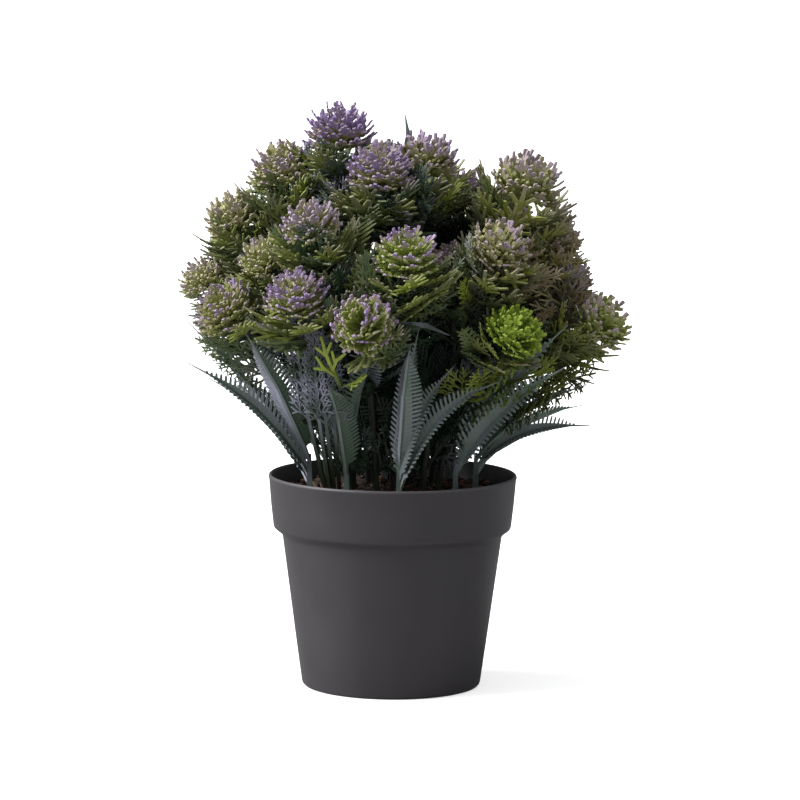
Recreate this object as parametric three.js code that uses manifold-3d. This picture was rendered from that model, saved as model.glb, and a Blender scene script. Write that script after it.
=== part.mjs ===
// Potted artificial lavender: a tapered plastic pot, a plug of soil with bark chips, ten branching stems that each
// carry a few dome-shaped flower heads, and eight short shoots of arching leaves with edges cut like a comb.
// Units are millimetres. +Z is up, and the front of the plant faces -Y. The origin is the middle of the pot's underside.

import * as THREE from "three";
import { mergeVertices } from "three/addons/utils/BufferGeometryUtils.js";
import Module from "manifold-3d";

const wasm = await Module();
wasm.setup();

// Pot
const POT_HEIGHT = 103;
const RIM_RADIUS = 60;
const BAND_LOW_RADIUS = 57.4;
const BAND_LOW_HEIGHT = 77.6;
const BODY_TOP_RADIUS = 53.2;
const BODY_TOP_HEIGHT = 74.4;
const BODY_LOW_RADIUS = 43.3;
const FOOT_RADIUS = 41.6;
const FOOT_ROUND = 2.2;
const POT_WALL = 1.8;
const POT_FLOOR = 3;
const POT_SIDES = 30;

// Soil
const SOIL_GAP = 0.4;
const SOIL_TOP = 94.5;
const SOIL_RINGS = [30];
const CHIP_COUNT = 7;
const CHIP_SIZE = [8, 4, 1.6];

// Stems and the holes that they stand in
const HOLE_BOTTOM = 74;
const HOLE_GAP = 0.3;
const HOLE_SIDES = 6;
const STEM_RADIUS = 2;
const BRANCH_RADIUS = 1.3;
const SHOOT_RADIUS = 1.9;
const SHOOT_TOP = 112;
const SHOOT_STEP = 3.8;
const SEAT_GAP = 0.3;

// Flower heads: each is a dome of blunt fingers that spread from the top of a short neck. The rings of valleys
// between the fingers are given as their tilt away from the dome's axis, how many there are and how far out they lie.
const HEAD_NECK = 0.5;
const NECK_SIDES = 5;
const NECK_RADIUS = 1.9;
const VALLEY_RINGS = [
  { tilt: 104, count: 9, reach: 0.66 },
  { tilt: 74, count: 9, reach: 0.7 },
  { tilt: 45, count: 6, reach: 0.68 },
  { tilt: 17, count: 3, reach: 0.66 },
];
const HEADS_LOOK_AWAY_FROM = new THREE.Vector3(0, 0, 128);

// Leaves
const LEAF_THICKNESS = 0.8;
const LEAF_TEETH = 6;
const LEAF_FOLD = 35;
const SPRAYS_PER_BRANCH = 1.1;
const SPRAY_TRIES = 80;
const SPRAY_LEAFLETS = 3;
const SPRAY_LENGTHS = [34, 52];
const SPRAY_THICKNESS = 0.8;
const SPRAY_HOLD = [1, 6];
const SPRAY_REACH = 94;
const SPRAY_ROLL = 1.2;
const CLEARANCE = 0.5;

const CHIP_SEED = 41;
const SPRAY_SEED = 19;

// Each stem: where it stands in the soil, where it forks, and its heads as name, place of the dome's middle and radius
const STEMS = [
  {
    name: "crown",
    foot: [0, 2],
    fork: [-4, 4, 205],
    heads: [
      ["crown_tip", -27, -4, 267, 17.5],
      ["crown_front", -7, -28, 250, 17.5],
      ["crown_right", 14, -2, 254, 17],
      ["crown_back", -8, 38, 248, 16],
    ],
  },
  {
    name: "left",
    foot: [-19, 4],
    fork: [-38, 3, 178],
    heads: [
      ["left_high", -54, 0, 249, 16.5],
      ["left_mid", -77, 0, 226, 15],
      ["left_low", -91, -2, 196, 13],
    ],
  },
  {
    name: "front_left",
    foot: [-20, -14],
    fork: [-36, -20, 164],
    heads: [
      ["front_left_high", -61, -33, 209, 13.5],
      ["front_left_low", -78, -44, 186, 16],
    ],
  },
  {
    name: "front",
    foot: [-8, -22],
    fork: [-13, -34, 166],
    heads: [
      ["front_high", -39, -50, 227, 14.5],
      ["front_side", -45, -68, 194, 16.5],
      ["front_low", -14, -86, 184, 15.5],
      ["front_mid", 6, -66, 214, 16.5],
    ],
  },
  {
    name: "front_right",
    foot: [14, -20],
    fork: [28, -26, 160],
    heads: [
      ["front_right_high", 49, -51, 217, 16],
      ["front_right_inner", 28, -27, 207, 12.5],
      ["front_right_low", 56, -63, 178, 15],
    ],
  },
  {
    name: "right",
    foot: [22, -2],
    fork: [44, -4, 168],
    heads: [
      ["right_high", 63, -5, 244, 18],
      ["right_mid", 77, -5, 217, 13.5],
      ["right_low", 98, -14, 178, 16.5],
      ["right_back", 85, 20, 196, 12],
    ],
  },
  {
    name: "back_right",
    foot: [19, 14],
    fork: [36, 24, 170],
    heads: [
      ["back_right_inner", 34, 26, 236, 14],
      ["back_right_high", 52, 50, 224, 16],
      ["back_right_mid", 75, 50, 210, 13.5],
      ["back_right_low", 86, 50, 176, 14],
    ],
  },
  {
    name: "back",
    foot: [7, 23],
    fork: [16, 42, 168],
    heads: [
      ["back_high", 13, 67, 228, 16],
      ["back_mid", 22, 90, 196, 15],
      ["back_low", 54, 77, 184, 15],
    ],
  },
  {
    name: "back_left",
    foot: [-12, 21],
    fork: [-20, 40, 165],
    heads: [
      ["back_left_high", -30, 74, 208, 16],
      ["back_left_low", -19, 93, 174, 14.5],
    ],
  },
  {
    name: "left_back",
    foot: [-22, 16],
    fork: [-40, 26, 166],
    heads: [
      ["left_back_high", -47, 42, 236, 16],
      ["left_back_mid", -71, 40, 206, 14.5],
      ["left_back_low", -61, 74, 178, 15],
      ["left_back_side", -84, 36, 172, 13],
    ],
  },
];

// Each shoot: where it stands in the soil, and its leaves as the place of the tip, the greatest width, the roll, and how
// steeply it rises before it leans out
const SHOOTS = [
  {
    name: "left",
    foot: [-40, -12],
    leaves: [
      [-71, -54, 179, 18, 25, 0.45],
      [-99, -14, 178, 14, -22, 0.42],
      [-98, -32, 160, 15, -62, 0.62],
      [-90, 8, 148, 14, -30, 0.7],
    ],
  },
  {
    name: "front_left",
    foot: [-22, -33],
    leaves: [
      [-6, -62, 177, 16, 28, 0.66],
      [-31, -70, 156, 17, -8, 0.66],
    ],
  },
  {
    name: "front",
    foot: [3, -38],
    leaves: [
      [8, -76, 174.5, 18, -48, 0.66],
      [12, -52, 180.5, 13, -20, 0.6],
      [28, -58, 162, 14, 90, 0.66],
      [50, -60, 155.5, 15, 70, 0.8],
    ],
  },
  {
    name: "front_right",
    foot: [30, -27],
    leaves: [
      [82, -46, 181, 18, 88, 0.5],
      [81, -60, 163, 17, 84, 0.6],
    ],
  },
  {
    name: "right",
    foot: [40, -3],
    leaves: [
      [92, -24, 150, 16, 50, 0.66],
      [95, 2, 127, 16, 40, 1.1],
      [93, 26, 134, 15, -20, 0.9],
    ],
  },
  {
    name: "back_right",
    foot: [27, 30],
    leaves: [
      [80, 58, 156, 15, -30, 0.66],
      [62, 84, 146, 15, 20, 0.66],
      [36, 92, 158, 14, 30, 0.66],
    ],
  },
  {
    name: "back",
    foot: [-4, 39],
    leaves: [
      [12, 102, 148, 15, -25, 0.66],
      [-34, 96, 150, 15, 25, 0.66],
    ],
  },
  {
    name: "back_left",
    foot: [-33, 23],
    leaves: [
      [-62, 82, 150, 15, 25, 0.66],
      [-86, 50, 142, 15, 40, 0.66],
    ],
  },
];

const UP = new THREE.Vector3(0, 0, 1);

// Materials
const materials = {
  pot: new THREE.MeshStandardMaterial({ color: 0x47454a, roughness: 0.6, metalness: 0 }),
  soil: new THREE.MeshStandardMaterial({ color: 0x3a281c, roughness: 0.95, metalness: 0 }),
  stem: new THREE.MeshStandardMaterial({ color: 0x2e3a24, roughness: 0.6, metalness: 0 }),
  comb_leaf: new THREE.MeshStandardMaterial({ color: 0x55695f, roughness: 0.55, metalness: 0 }),
  flower_head: new THREE.MeshStandardMaterial({ color: 0x7f7a86, roughness: 0.6, metalness: 0 }),
};

const plant = new THREE.Group();

function addMesh(name, geometry, material) {
  const mesh = new THREE.Mesh(geometry, material);
  mesh.name = name;
  plant.add(mesh);
  return mesh;
}

// A repeatable random number from 0 to 1
function seededRandom(seed) {
  let state = seed;
  return () => {
    state = (state + 0x6d2b79f5) | 0;
    let t = Math.imul(state ^ (state >>> 15), 1 | state);
    t = (t + Math.imul(t ^ (t >>> 7), 61 | t)) ^ t;
    return ((t ^ (t >>> 14)) >>> 0) / 4294967296;
  };
}

// Solids for joining and cutting

function toSolid(geometry) {
  const bare = geometry.clone();
  bare.deleteAttribute("normal");
  bare.deleteAttribute("uv");
  const merged = mergeVertices(bare, 1e-4);
  const triVerts = new Uint32Array(merged.index.array);
  return new wasm.Manifold(
    new wasm.Mesh({ numProp: 3, vertProperties: merged.attributes.position.array, triVerts }),
  );
}

function toGeometry(solid) {
  const mesh = solid.getMesh();
  const geometry = new THREE.BufferGeometry();
  geometry.setAttribute("position", new THREE.BufferAttribute(mesh.vertProperties, 3));
  geometry.setIndex(new THREE.BufferAttribute(mesh.triVerts, 1));
  geometry.computeVertexNormals();
  return geometry;
}

function joined(solids) {
  return solids.reduce((whole, next) => whole.add(next));
}

// The largest body that is left, without loose scraps
function largestBody(solid) {
  return solid.decompose().reduce((best, body) => (body.volume() > best.volume() ? body : best));
}

// Shapes that repeat

function regularShape(radius, sides) {
  const corners = [];
  for (let i = 0; i < sides; i += 1) {
    const angle = (i / sides) * 2 * Math.PI;
    corners.push(new THREE.Vector2(radius * Math.cos(angle), radius * Math.sin(angle)));
  }
  return new THREE.Shape(corners);
}

function rod(curve, radius, sides, steps) {
  return new THREE.ExtrudeGeometry(regularShape(radius, sides), { extrudePath: curve, steps });
}

// An upright peg from one height to another
function peg([x, y], radius, sides, low, high) {
  const geometry = new THREE.CylinderGeometry(radius, radius, high - low, sides);
  geometry.rotateX(Math.PI / 2);
  geometry.translate(x, y, (low + high) / 2);
  return geometry;
}

// A thin solid leaf. rows holds the notches along one half as [along, across], and teeth the point that stands out
// after each row but the last. place turns [along, across, height] into a point.
function leafGeometry(rows, teeth, length, thickness, place) {
  const flat = [];
  const add = (along, across) => flat.push([along, across]) - 1;
  const rib = [...rows.map(([along]) => add(along, 0)), add(length, 0)];
  const triangles = [];
  const outlines = [1, -1].map((side) => {
    const turned = (corners) => triangles.push(side > 0 ? corners : corners.toReversed());
    const notches = rows.map(([along, across]) => add(along, side * across));
    const outline = [];
    notches.forEach((notch, i) => {
      outline.push(notch);
      if (i === rows.length - 1) return turned([rib[i], rib[i + 1], notch]);
      turned([rib[i], rib[i + 1], notches[i + 1]]);
      turned([rib[i], notches[i + 1], notch]);
      if (!teeth[i]) return;
      const tooth = add(teeth[i][0], side * teeth[i][1]);
      turned([notch, notches[i + 1], tooth]);
      outline.push(tooth);
    });
    return outline;
  });
  const loop = [rib[0], ...outlines[1], rib.at(-1), ...outlines[0].toReversed()];

  const count = flat.length;
  const positions = [];
  for (const height of [thickness / 2, -thickness / 2]) {
    for (const [along, across] of flat) positions.push(...place(along, across, height));
  }
  const index = [];
  for (const [a, b, c] of triangles) index.push(a, b, c, c + count, b + count, a + count);
  loop.forEach((a, i) => {
    const b = loop[(i + 1) % loop.length];
    index.push(b, a, a + count, b, a + count, b + count);
  });
  const geometry = new THREE.BufferGeometry();
  geometry.setAttribute("position", new THREE.Float32BufferAttribute(positions, 3));
  geometry.setIndex(index);
  return geometry;
}

// Lays a flat leaf along a curve in an upright plane. level is the level direction across that plane. The leaf is
// turned about its midrib by roll, and its halves are folded up.
function alongCurve(curve, length, level, rollDegrees, foldDegrees) {
  const roll = THREE.MathUtils.degToRad(rollDegrees);
  const fold = THREE.MathUtils.degToRad(foldDegrees);
  return (along, across, height) => {
    const t = THREE.MathUtils.clamp(along / length, 0, 1);
    const tangent = curve.getTangentAt(t);
    const side = level.clone().applyAxisAngle(tangent, roll);
    const normal = new THREE.Vector3().crossVectors(tangent, side).normalize();
    const point = curve
      .getPointAt(t)
      .addScaledVector(side, across * Math.cos(fold))
      .addScaledVector(normal, height + Math.abs(across) * Math.sin(fold));
    return point.toArray();
  };
}

// The level direction across a leaf that grows from root to tip
function sideOf(root, tip) {
  const out = new THREE.Vector3(tip.x - root.x, tip.y - root.y, 0).normalize();
  return new THREE.Vector3().crossVectors(UP, out);
}

// A leaf's midrib: up from its root, then arching over to its tip
function archedCurve(root, tip, rise, lead) {
  const crest = new THREE.Vector3(
    THREE.MathUtils.lerp(root.x, tip.x, lead),
    THREE.MathUtils.lerp(root.y, tip.y, lead),
    THREE.MathUtils.lerp(root.z, tip.z, rise),
  );
  return new THREE.QuadraticBezierCurve3(root, crest, tip);
}

// Pot

function potGeometry() {
  const lipRound = 1.4;
  const slope = (RIM_RADIUS - BAND_LOW_RADIUS) / (POT_HEIGHT - BAND_LOW_HEIGHT);
  const profile = [
    [0, 0],
    [FOOT_RADIUS, 0],
    [BODY_LOW_RADIUS, FOOT_ROUND],
    [BODY_TOP_RADIUS, BODY_TOP_HEIGHT],
    [BAND_LOW_RADIUS, BAND_LOW_HEIGHT],
    [RIM_RADIUS - slope * lipRound, POT_HEIGHT - lipRound],
    [RIM_RADIUS - lipRound / 2, POT_HEIGHT],
    [RIM_RADIUS - POT_WALL, POT_HEIGHT],
    [BAND_LOW_RADIUS - POT_WALL, BAND_LOW_HEIGHT + 0.8],
    [BODY_TOP_RADIUS - POT_WALL, BODY_TOP_HEIGHT + 0.8],
    [BODY_LOW_RADIUS - POT_WALL, POT_FLOOR],
    [0, POT_FLOOR],
  ].map(([radius, height]) => new THREE.Vector2(radius, height));
  const geometry = new THREE.LatheGeometry(profile, POT_SIDES);
  geometry.rotateX(Math.PI / 2);
  return geometry;
}

// Soil with bark chips, and a plain hole for each stem and shoot

function soilHeight(x, y) {
  return SOIL_TOP + 0.9 * Math.sin(0.21 * x + 1.3) * Math.cos(0.17 * y) + 0.6 * Math.sin(0.39 * y + 0.33 * x);
}

function soilPlug() {
  const lowRadius = BODY_LOW_RADIUS - POT_WALL - SOIL_GAP;
  const stepRadius = BODY_TOP_RADIUS - POT_WALL - SOIL_GAP;
  const bandRadius = BAND_LOW_RADIUS - POT_WALL - SOIL_GAP;
  const topRadius = bandRadius + 1.4;
  const profile = [
    [0, POT_FLOOR + SOIL_GAP],
    [lowRadius, POT_FLOOR + SOIL_GAP],
    [stepRadius, BODY_TOP_HEIGHT + 0.8],
    [bandRadius, BAND_LOW_HEIGHT + 0.8],
    [topRadius, SOIL_TOP],
    ...SOIL_RINGS.map((radius) => [radius, SOIL_TOP]),
    [0, SOIL_TOP],
  ].map(([radius, height]) => new THREE.Vector2(radius, height));
  const geometry = new THREE.LatheGeometry(profile, POT_SIDES);
  geometry.rotateX(Math.PI / 2);
  const position = geometry.attributes.position;
  for (let i = 0; i < position.count; i += 1) {
    const radius = Math.hypot(position.getX(i), position.getY(i));
    if (position.getZ(i) < SOIL_TOP - 0.01 || radius > topRadius - 1) continue;
    position.setZ(i, soilHeight(position.getX(i), position.getY(i)));
  }
  return toSolid(geometry);
}

function barkChips(random) {
  const chips = [];
  for (let i = 0; i < CHIP_COUNT; i += 1) {
    const angle = ((i + 0.6 * random()) / CHIP_COUNT) * 2 * Math.PI;
    const radius = 22 + 26 * random();
    const chip = new THREE.BoxGeometry(...CHIP_SIZE);
    chip.rotateX(0.5 * (random() - 0.5));
    chip.rotateY(0.4 * (random() - 0.5));
    chip.rotateZ(2 * Math.PI * random());
    const x = radius * Math.cos(angle);
    const y = radius * Math.sin(angle);
    chip.translate(x, y, soilHeight(x, y) + 0.5);
    chips.push(toSolid(chip));
  }
  return chips;
}

function soilSolid() {
  let soil = joined([soilPlug(), ...barkChips(seededRandom(CHIP_SEED))]);
  const holes = [
    ...STEMS.map(({ foot }) => ({ foot, radius: STEM_RADIUS })),
    ...SHOOTS.map(({ foot }) => ({ foot, radius: SHOOT_RADIUS })),
  ];
  for (const { foot, radius } of holes) {
    const holeRadius = (radius + HOLE_GAP) / Math.cos(Math.PI / HOLE_SIDES);
    soil = soil.subtract(toSolid(peg(foot, holeRadius, HOLE_SIDES, HOLE_BOTTOM, SOIL_TOP + 8)));
  }
  return largestBody(soil);
}

// Flower heads

// Triangles of the band between a low ring and a high ring, which are lists of [point, angle]
function zipRings(low, high) {
  const turn = 2 * Math.PI;
  const at = (ring, i) => [ring[i % ring.length][0], ring[i % ring.length][1] + turn * Math.floor(i / ring.length)];
  const triangles = [];
  for (let i = 0, j = 0; i < low.length || j < high.length; ) {
    const [a] = at(low, i);
    const [b] = at(high, j);
    const [nextLow, lowAngle] = at(low, i + 1);
    const [nextHigh, highAngle] = at(high, j + 1);
    if (j >= high.length || (i < low.length && lowAngle <= highAngle)) {
      triangles.push([a, nextLow, b]);
      i += 1;
    } else {
      triangles.push([a, nextHigh, b]);
      j += 1;
    }
  }
  return triangles;
}

// One head as a single skin, with its middle at the origin and its dome facing +Z
function headGeometry(radius) {
  const points = [];
  const ring = (count, across, along, phase) =>
    Array.from({ length: count }, (_, i) => {
      const angle = ((i + phase) / count) * 2 * Math.PI;
      points.push(new THREE.Vector3(across * Math.cos(angle), across * Math.sin(angle), along));
      return [points.length - 1, angle];
    });
  const foot = ring(NECK_SIDES, NECK_RADIUS, -HEAD_NECK * radius, 0);
  const collar = ring(NECK_SIDES, NECK_RADIUS, -0.28 * radius, 0);
  const valleys = VALLEY_RINGS.map(({ tilt, count, reach }, i) => {
    const slant = THREE.MathUtils.degToRad(tilt);
    return ring(count, reach * radius * Math.sin(slant), reach * radius * Math.cos(slant), i % 2 === 0 ? 0 : 0.5);
  });

  const index = [];
  for (let i = 2; i < NECK_SIDES; i += 1) index.push(foot[0][0], foot[i][0], foot[i - 1][0]);
  for (const triangle of [...zipRings(foot, collar), ...zipRings(collar, valleys[0])]) index.push(...triangle);
  const dome = valleys.slice(1).flatMap((high, i) => zipRings(valleys[i], high));
  dome.push(valleys.at(-1).map(([point]) => point));
  for (const [a, b, c] of dome) {
    const tip = points[a].clone().add(points[b]).add(points[c]).setLength(radius);
    points.push(tip);
    const end = points.length - 1;
    index.push(a, b, end, b, c, end, c, a, end);
  }
  const geometry = new THREE.BufferGeometry().setFromPoints(points);
  geometry.setIndex(index);
  return geometry;
}

function headSolid({ middle, turn, radius }) {
  return toSolid(headGeometry(radius).applyQuaternion(turn).translate(...middle.toArray()));
}

function headPlaces() {
  return STEMS.flatMap((stem) =>
    stem.heads.map(([name, x, y, z, radius]) => {
      const middle = new THREE.Vector3(x, y, z);
      const axis = middle.clone().sub(HEADS_LOOK_AWAY_FROM).normalize();
      const turn = new THREE.Quaternion().setFromUnitVectors(UP, axis);
      return { name, stem: stem.name, middle, axis, turn, radius };
    }),
  );
}

// Stems

// The lines that a stem follows: its trunk, then a branch to each of its heads
function stemCurves(stem, heads) {
  const [x, y] = stem.foot;
  const fork = new THREE.Vector3(...stem.fork);
  const knee = new THREE.Vector3(x, y, (SOIL_TOP + fork.z) / 2);
  const trunk = new THREE.QuadraticBezierCurve3(new THREE.Vector3(x, y, SOIL_TOP), knee, fork);
  const rising = fork.clone().sub(knee).normalize();
  const branches = heads.map((head) => {
    const seat = head.middle.clone().addScaledVector(head.axis, -HEAD_NECK * head.radius - SEAT_GAP);
    const reach = seat.distanceTo(fork);
    return new THREE.CubicBezierCurve3(
      fork.clone().addScaledVector(rising, -1.2),
      fork.clone().addScaledVector(rising, 0.3 * reach),
      seat.clone().addScaledVector(head.axis, -0.35 * reach),
      seat,
    );
  });
  return { trunk, branches };
}

function stemSolid(stem, { trunk, branches }) {
  return joined([
    toSolid(peg(stem.foot, STEM_RADIUS, 6, HOLE_BOTTOM + SEAT_GAP, SOIL_TOP + 3)),
    toSolid(rod(trunk, STEM_RADIUS, 5, 3)),
    ...branches.map((branch) => toSolid(rod(branch, BRANCH_RADIUS, 4, 3))),
  ]);
}

// Comb-edged leaves

// Half the outline: a stalk, then a row of teeth under a curve that swells and runs out to a long point
function combEdge(length, width, count) {
  const stalk = 0.1;
  const point = 0.88;
  const swell = (u) => Math.min(1, 0.6 + 3 * u) * (1 - Math.max(0, (u - 0.42) / 0.58) ** 1.9);
  const along = (share) => (stalk + (point - stalk) * share) * length;
  const rows = [
    [0, 1],
    [stalk * length, 1],
  ];
  const teeth = [null];
  for (let i = 0; i < count; i += 1) {
    const u = (i + 0.62) / count;
    const gap = (i + 1) / count;
    const depth = 0.3 + 0.35 * u;
    teeth.push([along(u), Math.max(0.5 * width * swell(u), 0.9)]);
    rows.push([along(gap), Math.max(0.5 * width * swell(gap) * (1 - depth), 0.6)]);
  }
  return { rows, teeth };
}

function combLeaf(foot, height, [x, y, z, width, roll, rise], thickness, count) {
  const root = new THREE.Vector3(foot[0], foot[1], height);
  const tip = new THREE.Vector3(x, y, z);
  const curve = archedCurve(root, tip, rise, 0.3);
  const length = curve.getLength();
  const { rows, teeth } = combEdge(length, width, count);
  const place = alongCurve(curve, length, sideOf(root, tip), roll, LEAF_FOLD);
  return leafGeometry(rows, teeth, length, thickness, place);
}

function shootSolid({ foot, leaves }) {
  const whole = joined([
    toSolid(peg(foot, SHOOT_RADIUS, 6, HOLE_BOTTOM + SEAT_GAP, SHOOT_TOP)),
    ...leaves.map((leaf, i) =>
      toSolid(combLeaf(foot, SHOOT_TOP - 1.5 - SHOOT_STEP * i, leaf, LEAF_THICKNESS, LEAF_TEETH)),
    ),
  ]);
  return largestBody(whole);
}

// Feathery sprays on the branches

// A flat spray along +X, with a row of leaflets on each side
function sprayShape(length, grow) {
  const edge = [[0, 0.8 + grow]];
  for (let i = 0; i < SPRAY_LEAFLETS; i += 1) {
    const start = (0.24 + (0.64 * i) / SPRAY_LEAFLETS) * length;
    const reach = length * (0.36 - 0.06 * i);
    edge.push([start, 0.8 + grow], [start + 0.66 * reach, 0.7 * reach + grow]);
  }
  edge.push([0.86 * length, 0.8 + grow]);
  const corners = [...edge.map(([along, across]) => [along, -across]), [length, 0], ...edge.toReversed()];
  return new THREE.Shape(corners.map((corner) => new THREE.Vector2(...corner)));
}

function sprayGeometry(root, tip, roll, grow) {
  const depth = SPRAY_THICKNESS + 2 * grow;
  const along = tip.clone().sub(root).normalize();
  const across = sideOf(root, tip).applyAxisAngle(along, roll);
  const basis = new THREE.Matrix4().makeBasis(along, across, new THREE.Vector3().crossVectors(along, across));
  const geometry = new THREE.ExtrudeGeometry(sprayShape(root.distanceTo(tip), grow), { depth, bevelEnabled: false });
  return geometry
    .translate(0, 0, -depth / 2)
    .applyMatrix4(basis)
    .translate(...root.toArray());
}

// Grows sprays from a stem's branches, each where it stands clear of everything in the way and of its own stem
function growSprays(branches, bareStem, inTheWay, random) {
  const sprays = [];
  const wanted = Math.round(SPRAYS_PER_BRANCH * branches.length);
  for (let tries = 0; sprays.length < wanted && tries < wanted * SPRAY_TRIES; tries += 1) {
    const branch = branches[sprays.length % branches.length];
    const root = branch.getPointAt(0.25 + 0.6 * random());
    const length = THREE.MathUtils.lerp(...SPRAY_LENGTHS, random());
    const spread = new THREE.Vector3(random() - 0.5, random() - 0.5, random() - 0.35);
    const tip = branch.getTangentAt(1).addScaledVector(spread, 3).setLength(length).add(root);
    if (Math.hypot(tip.x, tip.y) > SPRAY_REACH) continue;
    const roll = SPRAY_ROLL * (2 * random() - 1);
    const room = toSolid(sprayGeometry(root, tip, roll, CLEARANCE));
    const spray = toSolid(sprayGeometry(root, tip, roll, 0));
    const held = spray.intersect(bareStem).volume();
    if (held < SPRAY_HOLD[0] || held > SPRAY_HOLD[1]) continue;
    if (inTheWay.some((other) => room.intersect(other).volume() > 0)) continue;
    inTheWay.push(room);
    sprays.push(spray);
  }
  return sprays;
}

const heads = headPlaces();
const headSolids = heads.map(headSolid);
const shootSolids = SHOOTS.map(shootSolid);
const curves = STEMS.map((stem) => stemCurves(stem, heads.filter((head) => head.stem === stem.name)));
const bareStems = STEMS.map((stem, i) => stemSolid(stem, curves[i]));
const spraySpaces = [];
const random = seededRandom(SPRAY_SEED);

addMesh("pot", potGeometry(), materials.pot);
addMesh("soil", toGeometry(soilSolid()), materials.soil);
STEMS.forEach((stem, i) => {
  const others = bareStems.filter((_, other) => other !== i);
  const inTheWay = [...headSolids, ...shootSolids, ...others, ...spraySpaces];
  const before = inTheWay.length;
  const { trunk, branches } = curves[i];
  const sprays = growSprays([...branches, trunk], bareStems[i], inTheWay, random);
  spraySpaces.push(...inTheWay.slice(before));
  addMesh(`stem_${stem.name}`, toGeometry(joined([bareStems[i], ...sprays])), materials.stem);
});
SHOOTS.forEach((shoot, i) => addMesh(`comb_leaves_${shoot.name}`, toGeometry(shootSolids[i]), materials.comb_leaf));
heads.forEach((head, i) => addMesh(`head_${head.name}`, toGeometry(headSolids[i]), materials.flower_head));

export default plant;
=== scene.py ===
# %% [markdown]
# # A potted lavender of moulded plastic
#
# The real object is a decorative plant: a dark pot filled with soil, wiry stems pushed into it, feathery
# sprigs, long leaves with edges cut like a comb, and flower heads built up from forked ribs that were
# sprayed lilac at their tips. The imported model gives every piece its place. This lesson dresses each one in
# the detail that the eye expects.

# %% Load the frame
import math
import random

import bmesh
import bpy
from mathutils import Matrix, Quaternion, Vector


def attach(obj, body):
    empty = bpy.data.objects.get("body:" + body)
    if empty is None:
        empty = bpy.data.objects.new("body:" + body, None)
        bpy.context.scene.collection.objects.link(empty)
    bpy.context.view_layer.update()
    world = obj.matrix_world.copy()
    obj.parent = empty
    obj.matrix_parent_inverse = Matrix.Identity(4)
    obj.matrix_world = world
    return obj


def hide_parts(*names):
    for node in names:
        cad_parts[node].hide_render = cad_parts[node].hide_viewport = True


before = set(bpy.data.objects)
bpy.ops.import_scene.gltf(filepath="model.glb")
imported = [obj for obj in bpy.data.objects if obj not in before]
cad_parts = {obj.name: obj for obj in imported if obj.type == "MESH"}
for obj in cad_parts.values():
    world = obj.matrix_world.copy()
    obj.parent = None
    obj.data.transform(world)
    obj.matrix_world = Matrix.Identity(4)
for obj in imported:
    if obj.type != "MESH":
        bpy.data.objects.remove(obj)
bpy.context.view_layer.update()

MM = 0.001
UP = Vector((0, 0, 1))
print("nodes to dress:", len(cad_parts))

# %% [markdown]
# ## Camera
#
# The picture looks slightly down on the pot from the front with a long lens, so that the rim is a flat
# ellipse and the sides hardly converge. The image is square, so the lens follows from how many millimetres
# one pixel covers.

# %% Place the camera
ELEVATION = math.radians(7.2)
DISTANCE = 2.2
MM_PER_PIXEL = 0.482
IMAGE_PIXELS = 800
SENSOR_MM = 36.0
AIM = Vector((3.2, 0, 138.9)) * MM
ROLL = math.radians(0.5)

camera_data = bpy.data.cameras.new("camera")
camera_data.sensor_width = SENSOR_MM
camera_data.lens = SENSOR_MM * DISTANCE / (IMAGE_PIXELS * MM_PER_PIXEL * MM)
camera = bpy.data.objects.new("camera", camera_data)
bpy.context.collection.objects.link(camera)
toward_camera = Vector((0, -math.cos(ELEVATION), math.sin(ELEVATION)))
camera.location = AIM + toward_camera * DISTANCE
camera.rotation_euler = (Quaternion(toward_camera, ROLL) @ toward_camera.to_track_quat("Z", "Y")).to_euler()
bpy.context.scene.camera = camera
print("lens:", round(camera_data.lens, 1), "mm")

# %% [markdown]
# ## Helpers for working by hand
#
# An operator acts on whatever is selected, so each step starts from an empty selection. Faces are picked by
# where they are, just as one would click them. Neighbours aren't unpicked, because that would also take away
# the points that they share, and which points are left would change from run to run.

# %% Selection helpers
def deselect_all():
    if bpy.context.mode != "OBJECT":
        bpy.ops.object.mode_set(mode="OBJECT")
    bpy.ops.object.select_all(action="DESELECT")


def activate(piece):
    deselect_all()
    piece.select_set(True)
    bpy.context.view_layer.objects.active = piece


def pick_faces(piece, wanted):
    bpy.ops.mesh.select_all(action="DESELECT")
    mesh = bmesh.from_edit_mesh(piece.data)
    for face in mesh.faces:
        if wanted(face):
            face.select_set(True)
    bmesh.update_edit_mesh(piece.data)


def copy_of(template, matrix):
    piece = template.copy()
    piece.data = template.data.copy()
    piece.data.transform(matrix)
    bpy.context.collection.objects.link(piece)
    return piece


def joined(pieces, name):
    activate(pieces[0])
    for piece in pieces:
        piece.select_set(True)
    bpy.ops.object.join()
    whole = bpy.context.object
    whole.name = whole.data.name = name
    return whole


def apply_modifier(piece, kind, **settings):
    activate(piece)
    modifier = piece.modifiers.new(kind.lower(), kind)
    for key, value in settings.items():
        setattr(modifier, key, value)
    bpy.ops.object.modifier_apply(modifier=modifier.name)


def remove(pieces):
    for piece in pieces:
        bpy.data.objects.remove(piece)


def turned(degrees, axis):
    return Matrix.Rotation(math.radians(degrees), 4, axis)


def coat(piece, material):
    piece.data.materials.clear()
    piece.data.materials.append(material)

# %% [markdown]
# A moulded sprig is a set of small tapered shoots. Each shoot starts as a cube, and its top face is pulled
# up again and again, a little wider or narrower each time. The same helper makes fingers, ribs, needles,
# teeth and chips.

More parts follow.
